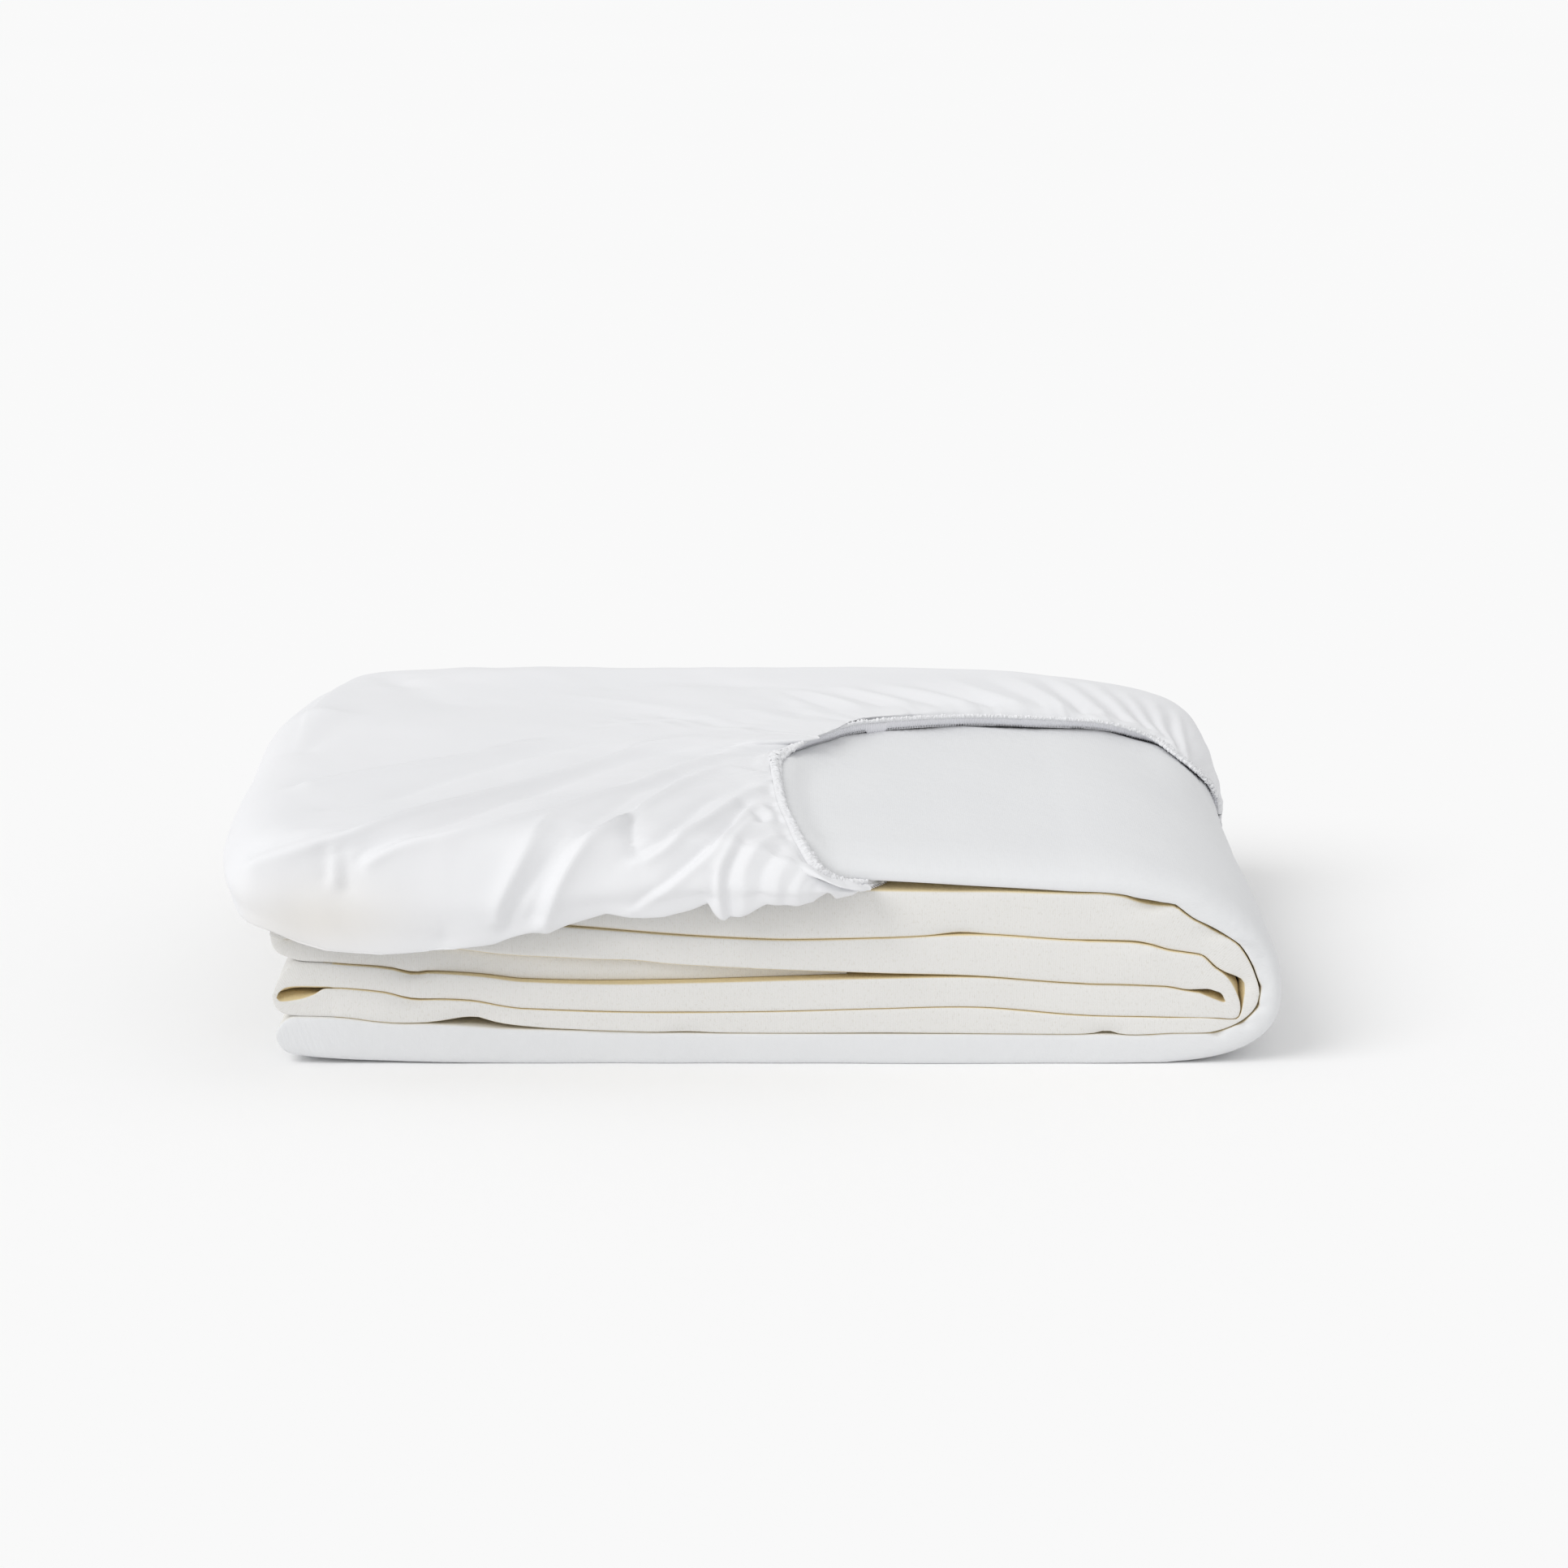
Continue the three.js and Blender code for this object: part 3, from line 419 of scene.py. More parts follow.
# The gathers behind the back of the mouth. Each is a crease from one place along the mouth to another along
# the roll behind it, with a ridge between it and the next. A gather bends up in its middle and is lower at
# its far end.
GATHER = {"middle": 0.4, "up": 1.5, "crease_end": 0.4, "ridge_end": 0.5}
BACK_MOUTH = [(-5, 179, 104), (32, 208, 106), (68, 218, 105), (108, 227, 104), (145, 231, 99), (177, 235, 89),
              (187, 212, 81), (197, 206, 72)]
BACK_ROLL = [(-5, 233, 109), (32, 240, 109), (68, 249, 110), (108, 266, 110), (145, 267, 106), (177, 264, 97),
             (192, 263, 89), (202, 251, 77)]
BACK_CREASES = [
    {"mouth": 0.3, "roll": -0.35, "high": 1.3}, {"mouth": 0.75, "roll": 0.15, "high": 1.1},
    {"mouth": 1.35, "roll": 0.7, "high": 1.9}, {"mouth": 2.05, "roll": 1.2, "high": 1.7},
    {"mouth": 2.7, "roll": 1.9, "high": 2.4}, {"mouth": 3.3, "roll": 2.75, "high": 1.3},
    {"mouth": 3.85, "roll": 3.4, "high": 2.3}, {"mouth": 4.4, "roll": 3.9, "high": 1.9},
    {"mouth": 4.75, "roll": 4.35, "high": 2.0}, {"mouth": 5.2, "roll": 4.75, "high": 1.8},
    {"mouth": 6.0, "roll": 5.4, "high": 2.8}, {"mouth": 6.7, "roll": 6.1, "high": 2.2},
]

# ----------------------------------------------------------------------------------------------------------
# Curves and noise


WANDER_LATTICE, MOTTLE_LATTICE = 1024, 256


def smoothstep(x):
    x = np.clip(x, 0, 1)
    return x * x * (3 - 2 * x)


def smooth_rows(values, places):
    """A smooth line through evenly placed rows of values, at places counted in rows."""
    values, places = np.asarray(values, float), np.asarray(places, float)
    row = np.clip(np.floor(places).astype(int), 0, len(values) - 2)
    t = np.clip(places - row, 0, 1).reshape(places.shape + (1,) * (values.ndim - 1))
    ends = np.concatenate([[2 * values[0] - values[1]], values, [2 * values[-1] - values[-2]]])
    a, b, c, d = (ends[row + k] for k in range(4))
    return b + 0.5 * t * (c - a + t * (2 * a - 5 * b + 4 * c - d + t * (3 * (b - c) + d - a)))


def wander(place, seed):
    """Smooth noise from -1 to 1 along a line, with about one turn in each unit."""
    lattice = np.random.default_rng(seed).uniform(-1, 1, WANDER_LATTICE)
    cell = np.floor(place).astype(int)
    t = smoothstep(place - cell)
    return lattice[cell % WANDER_LATTICE] * (1 - t) + lattice[(cell + 1) % WANDER_LATTICE] * t


def mottle(u, v, seed):
    """Smooth noise from -1 to 1 over a surface, with about one turn in each unit."""
    lattice = np.random.default_rng(seed).uniform(-1, 1, (MOTTLE_LATTICE, MOTTLE_LATTICE))
    cu, cv = np.floor(u).astype(int), np.floor(v).astype(int)
    tu, tv = smoothstep(u - cu), smoothstep(v - cv)

    def at(a, b):
        return lattice[(cu + a) % MOTTLE_LATTICE, (cv + b) % MOTTLE_LATTICE]

    near = at(0, 0) * (1 - tu) + at(1, 0) * tu
    far = at(0, 1) * (1 - tu) + at(1, 1) * tu
    return near * (1 - tv) + far * tv


def run_length(points):
    """Distance along each row of points, from its first point."""
    steps = np.linalg.norm(np.diff(points, axis=0), axis=-1)
    return np.concatenate([np.zeros((1,) + steps.shape[1:]), np.cumsum(steps, axis=0)])


def grid_normals(points):
    """The way that a grid of points faces at each of them."""
    along, across = np.gradient(points, axis=0), np.gradient(points, axis=1)
    normals = np.cross(along, across)
    return normals / np.maximum(np.linalg.norm(normals, axis=-1, keepdims=True), 1e-12)


def seam_height(name, x):
    """How high a seam lies at the front, at this place along the pile."""
    at, high = np.array(SEAMS[name], float).T
    return smooth_rows(high, np.interp(x, at, np.arange(len(at))))


def rise(y):
    """How much taller the pile is at this depth than at its front."""
    left = 1 - np.clip(y / RISE_RUN, 0, 1)
    return 1 + BACK_RISE * (1 - left * left)


# ----------------------------------------------------------------------------------------------------------
# Meshes


def grid_mesh(name, points, materials, layers=None, face_material=None, tube=False):
    """A sheet over a grid of points in the pile's axes, or a tube with flat ends if each row closes on
    itself. `layers` maps an attribute's name to its values on the grid, and those of "UVMap" are pairs."""
    rows, columns = points.shape[:2]
    corners = np.arange(rows * columns).reshape(rows, columns)
    if tube:
        corners = np.concatenate([corners, corners[:, :1]], 1)
    faces = np.stack([corners[:-1, :-1], corners[1:, :-1], corners[1:, 1:], corners[:-1, 1:]], -1)
    faces = faces.reshape(-1, 4)
    ends = [corners[0, :-1].tolist(), corners[-1, -2::-1].tolist()] if tube else []
    mesh = bpy.data.meshes.new(name)
    mesh.from_pydata((points.reshape(-1, 3) * MM + PILE).tolist(), [], faces.tolist() + ends)
    for layer, values in (layers or {}).items():
        flat = np.asarray(values, np.float32).reshape(rows * columns, -1)
        if layer == "UVMap":
            order = np.concatenate([faces.reshape(-1), *ends]).astype(int)
            mesh.uv_layers.new(name=layer).data.foreach_set("uv", flat[order].reshape(-1))
        elif flat.shape[1] == 3:
            mesh.attributes.new(layer, "FLOAT_VECTOR", "POINT").data.foreach_set("vector", flat.reshape(-1))
        else:
            mesh.attributes.new(layer, "FLOAT", "POINT").data.foreach_set("value", flat.reshape(-1))
    for material in materials:
        mesh.materials.append(material)
    if face_material is not None:
        mesh.polygons.foreach_set("material_index", face_material.astype(np.int32).reshape(-1))
    mesh.polygons.foreach_set("use_smooth", np.ones(len(faces) + len(ends), bool))
    mesh.update()
    piece = bpy.data.objects.new(name, mesh)
    bpy.context.scene.collection.objects.link(piece)
    return piece


# ----------------------------------------------------------------------------------------------------------
# Materials


RIB_PITCH, COURSE_PITCH = 0.91, 0.7  # of the knit
WEAVE_PITCH = 0.35  # of the microfibre
GRAIN_SCALE = 1400.0  # of the elastic's yarn, per metre


class Value:
    """A number at some socket of a node tree. Arithmetic on it adds the Math nodes."""

    def __init__(self, tree, socket):
        self.tree, self.socket = tree, socket

    def math(self, operation, *others):
        node = self.tree.nodes.new("ShaderNodeMath")
        node.operation = operation
        for socket, value in zip(node.inputs, (self, *others)):
            feed(self.tree, socket, value)
        return Value(self.tree, node.outputs[0])

    def __add__(self, other):
        return self.math("ADD", other)

    def __radd__(self, other):
        return self.math("ADD", other)

    def __sub__(self, other):
        return self.math("SUBTRACT", other)

    def __rsub__(self, other):
        return (self * -1) + other

    def __mul__(self, other):
        return self.math("MULTIPLY", other)

    def __rmul__(self, other):
        return self.math("MULTIPLY", other)

    def __truediv__(self, other):
        return self.math("DIVIDE", other)

    def wave(self, pitch):
        """A wave from -1 to 1 that comes back after each pitch."""
        return (self * (2 * math.pi / pitch)).math("SINE")

    def between(self, low, high):
        return self.math("MAXIMUM", low).math("MINIMUM", high)


def feed(tree, socket, value):
    """Give a socket a link from a value or another socket, or else its own value."""
    if isinstance(value, Value):
        tree.links.new(value.socket, socket)
    elif isinstance(value, bpy.types.NodeSocket):
        tree.links.new(value, socket)
    else:
        socket.default_value = value


def add_node(tree, kind, settings=None, inputs=None):
    """A node of one kind, with its settings and then the values or links of its sockets, by name or by
    number."""
    node = tree.nodes.new(kind)
    for name, value in (settings or {}).items():
        setattr(node, name, value)
    for name, value in (inputs or {}).items():
        feed(tree, node.inputs[name], value)
    return node


class Finish:
    """A material with one Principled shader, fed by what its maker asks for."""

    def __init__(self, name, **fixed):
        self.material = bpy.data.materials.new(name)
        self.material.use_nodes = True
        self.tree = self.material.node_tree
        self.shader = self.tree.nodes["Principled BSDF"]
        for socket, value in fixed.items():
            self.shader.inputs[socket.replace("_", " ")].default_value = value

    def node(self, kind, settings=None, inputs=None):
        return add_node(self.tree, kind, settings, inputs)

    def value(self, node, output=0):
        return Value(self.tree, node.outputs[output])

    def attribute(self, name):
        return self.value(self.node("ShaderNodeAttribute", {"attribute_name": name}), "Fac")

    def uv(self):
        """The distances along and across the cloth, in millimetres."""
        coords = self.node("ShaderNodeUVMap", {"uv_map": "UVMap"})
        split = self.node("ShaderNodeSeparateXYZ", inputs={0: coords.outputs[0]})
        return self.value(split, 0), self.value(split, 1)

    def noise(self, vector, scale, detail, roughness=0.5):
        inputs = {"Vector": vector, "Scale": scale, "Detail": detail, "Roughness": roughness}
        return self.value(self.node("ShaderNodeTexNoise", {"noise_dimensions": "3D"}, inputs))

    def patches(self, u, v, detail, roughness=0.5):
        """Noise over the cloth, with about one patch in each unit of u and v."""
        place = self.node("ShaderNodeCombineXYZ", inputs={0: u, 1: v}).outputs[0]
        return self.noise(place, 1.0, detail, roughness)

    def mix(self, share, first, second):
        node = self.node("ShaderNodeMix", {"data_type": "RGBA"})
        for number, value in ((0, share), (6, first), (7, second)):
            feed(self.tree, node.inputs[number], value)
        return node.outputs[2]

    def bump(self, height, distance, strength, under=None):
        inputs = {"Height": height, "Distance": distance, "Strength": strength}
        if under is not None:
            inputs["Normal"] = under
        return self.node("ShaderNodeBump", inputs=inputs).outputs[0]

    def finish(self, colour, roughness, normal=None):
        feed(self.tree, self.shader.inputs["Base Color"], colour)
        feed(self.tree, self.shader.inputs["Roughness"], roughness)
        if normal is not None:
            feed(self.tree, self.shader.inputs["Normal"], normal)
        return self.material


def paint(red, green, blue):
    """A colour in the units of a paint chart, 0 to 255, as the shader wants it."""
    linear = [c / 255 / 12.92 if c <= 10 else ((c / 255 + 0.055) / 1.055) ** 2.4 for c in (red, green, blue)]
    return (*linear, 1.0)


def knit_finish():
    """Cream single jersey: fine upright ribs, short courses across them and tucks that leave small holes.
    Painted shade darkens the holes and the grooves between the ribs, and painted crease shade, a deeper
    warm cream, lies where one fold meets the next."""
    f = Finish("cream_knit", Sheen_Weight=0.1, Sheen_Roughness=0.5, Specular_IOR_Level=0.2)
    u, v = f.uv()
    wavering = u + f.patches(u * 0.08, v * 0.2, detail=1.0) * 0.8
    rib = wavering.wave(RIB_PITCH) * 0.5 + 0.5
    course = (v * (2 * math.pi / COURSE_PITCH) + wavering.wave(2 * RIB_PITCH)).math("SINE") * 0.5 + 0.5
    tucks, tuck_run = f.patches(u * 1.5, v * 0.6, detail=1.0) - 0.6, 0.09
    pinhole = tucks.between(0.0, tuck_run) * (1 / tuck_run)
    cloud = f.patches(u * 0.03, v * 0.03, detail=3.0)
    yarn = f.mix(cloud, paint(232, 231, 229), paint(227, 226, 223))
    # painted shade: darker in the holes of the tucks and in the grooves between the ribs
    colour = f.mix(pinhole * 0.22 + (1 - rib) * 0.06, yarn, paint(200, 194, 180))
    # painted crease shade: a deeper warm cream where one fold meets the next
    colour = f.mix(f.attribute("crease").between(0.0, 1.0) * 0.85, colour, paint(224, 204, 152))
    height = rib * 0.7 + course * 0.3 - pinhole * 0.5
    fuzz = f.patches(u * 2.2, v * 2.2, detail=3.0, roughness=0.7)
    return f.finish(colour, 0.9, f.bump(height + fuzz * 0.5, distance=0.00008, strength=0.8))


def coated_finish():
    """The coated white back of the panel, smooth, with the ribs of the knit just showing through."""
    f = Finish("coated_white", Specular_IOR_Level=0.3, Sheen_Weight=0.05)
    u, v = f.uv()
    rib = u.wave(RIB_PITCH) * 0.5 + 0.5
    cloud = f.patches(u * 0.02, v * 0.02, detail=4.0)
    pucker = f.patches(u * 0.12, v * 0.12, detail=3.0, roughness=0.6)
    colour = f.mix(cloud, paint(229, 230, 231), paint(225, 226, 228))
    # painted crease shade: a warm grey-cream where one fold meets the next
    colour = f.mix(f.attribute("crease").between(0.0, 1.0) * 0.7, colour, paint(214, 200, 160))
    under = f.bump(pucker, distance=0.0012, strength=0.35)
    return f.finish(colour, 0.62 + 0.08 * cloud, f.bump(rib, distance=0.00003, strength=0.5, under=under))


def microfibre_finish():
    """Thin white microfibre: a close plain weave, a little warmer where the cream panel shows through it."""
    f = Finish("white_microfibre", Sheen_Weight=0.1, Sheen_Roughness=0.4, Specular_IOR_Level=0.25)
    u, v = f.uv()
    weave = u.wave(WEAVE_PITCH) * v.wave(WEAVE_PITCH)
    cloud = f.patches(u * 0.015, v * 0.015, detail=3.0)
    rumple = f.patches(u * 0.06, v * 0.035, detail=3.0)
    white = f.mix(cloud, paint(235, 235, 237), paint(231, 232, 234))
    colour = f.mix(f.attribute("thin").between(0.0, 1.0) * 0.4, white, paint(226, 219, 206))
    under = f.bump(rumple, distance=0.0015, strength=0.25)
    return f.finish(colour, 0.72, f.bump(weave, distance=0.00002, strength=0.4, under=under))


def elastic_finish():
    """Grey-white elastic, covered in fine yarn."""
    f = Finish("ribbed_elastic", Specular_IOR_Level=0.3)
    coords = f.node("ShaderNodeTexCoord").outputs["Object"]
    grain = f.noise(coords, GRAIN_SCALE, detail=3.0, roughness=0.6)
    colour = f.mix(grain, paint(237, 237, 241), paint(243, 243, 247))
    return f.finish(colour, 0.75, f.bump(grain, distance=0.00015, strength=0.6))


CREAM_KNIT = knit_finish()
COATED_WHITE = coated_finish()
MICROFIBRE = microfibre_finish()
ELASTIC_COVER = elastic_finish()

# ----------------------------------------------------------------------------------------------------------
# The panel


def pass_lines(layer):
    """The lower and the upper face of a pass, and how far its folded edge lies behind the pile's face."""
    start, end = layer["run"]
    count = round(abs(end - start) / STATION_STEP) + 1
    x = np.linspace(start, end, count)
    above = 0 if layer["under"] == "table" else LAYER_GAP / 2
    below = 0 if layer["over"] == "crest" else LAYER_GAP / 2
    under = np.stack([x, seam_height(layer["under"], x) + above], -1)
    over = np.stack([x, seam_height(layer["over"], x) - below], -1)
    front = np.linspace(*layer["front"], count)
    return under, over, front


def quarter(start, tip, form, share):
    """Points from the end of a pass to the farthest reach of its turn, through the points given or by
    itself."""
    if isinstance(form, list):
        spans = len(form) + 1
        line = smooth_rows([start, *form, tip], np.linspace(0, spans, FORM_STEPS * spans + 1))
        run = run_length(line)
        return smooth_rows(line, np.interp(share * run[-1], run, np.arange(len(run))))
    angle = share[:, None] * (math.pi / 2)
    x = start[0] + (tip[0] - start[0]) * np.sin(angle) ** form
    z = tip[1] + (start[1] - tip[1]) * np.cos(angle) ** form
    return np.concatenate([x, z], -1)


def turn_lines(turn, layer, following):
    """The left and the right face of the band round one turn, how far behind the pile's face it lies and
    whether its outer line is the left one."""
    climbs = seam_height(following["under"], 0) > seam_height(layer["under"], 0)
    outer_is_left = climbs == (turn["reach"] < 0)
    outer_tip = (turn["reach"], turn["height"])
    inner_tip = (turn["reach"] - math.copysign(turn["thick"], turn["reach"]), turn["hollow"])
    share = np.arange(1, TURN_STEPS + 1) / TURN_STEPS
    halves = []
    for run, end, is_lower in ((layer, -1, climbs), (following, 0, not climbs)):
        under, over, front = pass_lines(run)
        row = 0 if is_lower else 1
        outer = quarter((under if is_lower else over)[end], outer_tip, turn["outer"][row], share)
        inner = quarter((over if is_lower else under)[end], inner_tip, turn["inner"][row], share)
        halves.append((outer, inner, np.full(TURN_STEPS, front[end])))
    outer, inner, front = (np.concatenate([a, b[-2::-1]]) for a, b in zip(*halves))
    return (outer, inner, front, True) if outer_is_left else (inner, outer, front, False)


def band_lines():
    """The whole folded band, station by station: its two faces, how far its front edge lies behind the
    pile's face, the shape of that edge, how much painted crease shade each face takes where its neighbour
    covers it, whether its coated face is outside and the number of its pass or turn."""
    left, right, front, nose, covered, coated, number = [], [], [], [], [], [], []
    for order, layer in enumerate(PASSES):
        under, over, back = pass_lines(layer)
        forward = layer["run"][1] > layer["run"][0]
        is_coated = layer["name"] in COATED_PASSES
        left.append(over if forward else under)
        right.append(under if forward else over)
        front.append(back)
        nose.append(np.tile(edge_shape(layer), (len(back), 1)))
        # how much painted crease shade each face takes: all of it on the knit, a share on a coated pass's
        # left face
        covered.append(np.tile([COATED_CREASE_SHADE, 0.0] if is_coated else [1.0, 1.0], (len(back), 1)))
        coated.append(np.full(len(back), float(is_coated)))
        number.append(np.full(len(back), 2 * order))
        if order < len(TURNS):
            following = PASSES[order + 1]
            turn_left, turn_right, turn_front, outer_is_left = turn_lines(TURNS[order], layer, following)
            share = np.linspace(0, 1, len(turn_front))[:, None]
            outside = 0.0 if order in FREE_TURNS else 1.0
            left.append(turn_left)
            right.append(turn_right)
            front.append(turn_front)
            nose.append(edge_shape(layer) * (1 - share) + edge_shape(following) * share)
            covered.append(np.tile([outside, 1.0] if outer_is_left else [1.0, outside], (len(turn_front), 1)))
            coated.append(np.full(len(turn_front), float(is_coated)))
            number.append(np.full(len(turn_front), 2 * order + 1))
    whole = [np.concatenate(part) for part in (left, right, front, nose, covered, coated, number)]
    left, right = whole[:2]
    middle, half = (left[0] + right[0]) / 2, (left[0] - right[0]) / 2
    angle = (np.arange(END_STEPS, 0, -1) / (END_STEPS + END_TIP) * (math.pi / 2))[:, None]
    tip = middle - np.sin(angle) * [abs(half[1]), 0]
    ends = [tip + half * np.cos(angle), tip - half * np.cos(angle)]
    ends += [np.repeat(part[:1], END_STEPS, axis=0) for part in whole[2:]]
    return [np.concatenate([end, part]) for end, part in zip(ends, whole)]


def edge_shape(layer):
    """How a pass's folded edge rounds off over its left and its right face, its foremost point and its
    squareness."""
    nose = COATED_NOSES.get(layer["name"])
    if nose is None:
        return np.array([NOSE_MOST, NOSE_MOST, 0.0, NOSE_POWER])
    return np.array([nose["left"], nose["right"], nose["peak"], nose["power"]])


def back_edge(x):
    """How deep the pile is at this place along it."""
    start = np.where(x > 0, TURNS[0]["reach"] - CORNER, TURNS[1]["reach"] + CORNER)
    share = np.clip((x - start) / (np.sign(x) * CORNER), 0, 1)
    return PILE_DEPTH - CORNER_INSET * share * share


def regular_cover(x, y):
    """Height of the panel's uppermost face, as regular as its tables."""
    top = PASSES[1]["run"]
    right = x > top[0]
    turn_reach = np.where(right, TURNS[0]["reach"], TURNS[1]["reach"])
    turn_height = np.where(right, TURNS[0]["height"], TURNS[1]["height"])
    end = np.where(right, top[0], top[1])
    inside = (x <= top[0]) & (x >= top[1])
    share = np.where(inside, 0, np.clip((x - end) / (turn_reach - end), 0, 1))
    start = seam_height("crest", np.clip(x, top[1], top[0]))
    return (turn_height + (start - turn_height) * np.sqrt(1 - share * share)) * rise(y)


def swell_height(x, y):
    """How much the swells lift the top of the pile."""
    return sum(swell["up"] * np.exp(-((x - swell["at"][0]) / swell["wide"][0]) ** 2
                                    - ((y - swell["at"][1]) / swell["wide"][1]) ** 2) for swell in SWELLS)


def pile_swell(x, y):
    """How much the top of the pile stands above its regular form: its swells, and the ledge on which the
    edge of the skirt's mouth lies."""
    rims, along, facing, out = (part[LEDGE["first"]:] for part in hem_frames())
    lowest = np.minimum(rims[:, 2], rims[:, 2] + along[:, 2] * HEM_WIDTH)
    lowest = lowest - LEDGE["clear"] - LEDGE["under"] * np.maximum(facing[:, 2], 0)
    need = lowest - regular_cover(rims[:, 0], rims[:, 1]) - swell_height(rims[:, 0], rims[:, 1])
    need = np.clip(need, 0, LEDGE["most"])
    line = smooth_rows(np.column_stack([rims[:, :2], out[:, :2], need]),
                       np.linspace(0, len(rims) - 1, LEDGE_STEPS * len(rims)))
    away = (np.ravel(x)[:, None] - line[:, 0]) ** 2 + (np.ravel(y)[:, None] - line[:, 1]) ** 2
    near = line[np.argmin(away, axis=1)].reshape(np.shape(x) + (5,))
    outside = (x - near[..., 0]) * near[..., 2] + (y - near[..., 1]) * near[..., 3]
    ledge = near[..., 4] * smoothstep((outside + LEDGE["ahead"]) / LEDGE["run"])
    ledge = ledge * (1 - smoothstep((outside - LEDGE["past"]) / LEDGE["fade"]))
    return swell_height(x, y) + ledge * smoothstep((y - LEDGE_START["from"]) / LEDGE_START["run"])


def panel_section(thick, face, back, nose):
    """Four plies of cloth, folded in half twice: for every station the share of the thickness and the
    depth of each point round the section, and how much painted crease shade the point takes, by how near
    it is to where this fold meets the next."""
    depth = np.concatenate([np.linspace(0, FRONT_SHARE, FRONT_ROWS)[:-1],
                            np.linspace(FRONT_SHARE, BACK_SHARE, DEEP_ROWS), LAST_PLACES])[None]
    inner_depth = np.array([INNER_PLACES])
    usual = np.minimum(nose[:, :2], NOSE_SHARE * thick[:, None])
    deep = np.where(nose[:, :2] > 2 * NOSE_MOST, nose[:, :2], usual)
    peak, power = nose[:, 2:3], nose[:, 3:4]
    angle = np.linspace(math.pi / 2, -math.pi / 2, NOSE_STEPS + 1)[None, 1:-1]
    turned = np.abs(np.sin(angle)) ** (2 / power)
    level = 1 - np.cos(angle) ** (2 / power)
    edge, thick, back = face[:, None], thick[:, None], back[:, None]
    inner = edge + PLY_SETBACK * thick
    turn = np.linspace(-math.pi / 2, math.pi / 2, FOLD_STEPS + 1)[None, 1:-1]
    spread = 0 * edge  # takes the points of a fold to every station

    def flat(share, start, backwards, way=depth):
        y = start + (back - start) * (way[:, ::-1] if backwards else way)
        return np.full(y.shape, share), y, np.ones(y.shape)

    parts = [
        flat(1.0, edge + deep[:, :1], True),
        # the folded edge, with painted crease shade where it meets the next fold
        (np.where(angle > 0, peak + (1 - peak) * turned, peak - (1 + peak) * turned),
         edge + level * np.where(angle > 0, deep[:, :1], deep[:, 1:]),
         smoothstep((turned - MEETING["from"]) / MEETING["run"])),
        flat(-1.0, edge + deep[:, 1:], False),
        (BACK_FOLD["at"] + BACK_FOLD["half"] * np.sin(turn) + spread,
         back + BACK_FOLD["half"] * thick * np.cos(turn), np.ones_like(turn) + spread),
        flat(-INNER_PLY, inner, True, inner_depth),
        (INNER_PLY * np.sin(turn) + spread,
         inner - INNER_NOSE * thick * np.cos(turn), np.ones_like(turn) + spread),
        flat(INNER_PLY, inner, False, inner_depth),
    ]
    return tuple(np.concatenate(columns, axis=1)[:, ::-1] for columns in zip(*parts))


def panel():
    """The folded panel: the band's section at every station, with its pockets, pinches and softness."""
    left, right, front, nose, covered, coated, number = band_lines()
    middle, half = (left + right) / 2, (left - right) / 2
    along = run_length(middle)
    uneven = sum(wave["high"] * wander(along / wave["pitch"], wave["seed"]) for wave in EDGE_WAVES)
    face = front + uneven + EDGE_SETBACK
    share, y, meets = panel_section(2 * np.linalg.norm(half, axis=1), face, back_edge(middle[:, 0]), nose)
    x = middle[:, :1] + half[:, :1] * share
    z = middle[:, 1:] + half[:, 1:] * share
    in_order = [part["name"] for pair in zip(PASSES, TURNS) for part in pair] + [PASSES[-1]["name"]]
    for dimple in DIMPLES:
        on = number == in_order.index(dimple["on"])
        (at_x, at_z), (wide_x, wide_z) = dimple["at"], dimple["wide"]
        near = on[:, None] * np.exp(-((x - at_x) / wide_x) ** 2 - ((z - at_z) / wide_z) ** 2)
        near = near * np.exp(-(y / dimple["deep"]) ** 2)
        x, y, z = (part + near * move for part, move in zip((x, y, z), dimple["move"]))
    for pinch in PINCHES:
        off = [(x - pinch["at"][0]) / pinch["wide"][0], (z - pinch["at"][1]) / pinch["wide"][1]]
        shut = np.exp(-off[0] ** PINCH_POWER - off[1] ** PINCH_POWER)
        shut = shut * smoothstep((y - pinch["from"]) / pinch["run"])
        x = x - (x - pinch["at"][0]) * shut * (pinch["closes"] == 0)
        z = z - (z - pinch["at"][1]) * shut * (pinch["closes"] == 1)
    x = x * (1 - BACK_TAPER * (y / PILE_DEPTH) ** 2)
    z = z * rise(y)
    z = z + pile_swell(x, y) * smoothstep((z - LIFT["from"]) / LIFT["run"])
    points = np.stack([x, y, z], -1)
    swell = sum(soft["high"] * mottle(along[:, None] / soft["along"], y / soft["deep"], soft["seed"])
                for soft in SOFTNESS)
    free = smoothstep((z - SOFT_ABOVE["from"]) / SOFT_ABOVE["run"])
    free = free * smoothstep((y - SOFT_BEHIND["from"]) / SOFT_BEHIND["run"])
    points = points + grid_normals(points) * (swell * free * (np.abs(share) > OUTER_PLY))[..., None]
    around = run_length(points.transpose(1, 0, 2)).T
    uv = np.stack([np.broadcast_to(along[:, None], around.shape), around], -1)
    # painted crease shade where one folded edge meets the next, as much as that face takes
    crease = meets * np.where(share > 0, covered[:, :1], covered[:, 1:])
    is_coated = (coated[:-1] * coated[1:] == 1)[:, None]
    return grid_mesh("panel_cloth", points, [CREAM_KNIT, COATED_WHITE], {"UVMap": uv, "crease": crease},
                     np.broadcast_to(is_coated, (len(along) - 1, share.shape[1] - 1)))


# ----------------------------------------------------------------------------------------------------------
# The skirt, its hem and its elastic


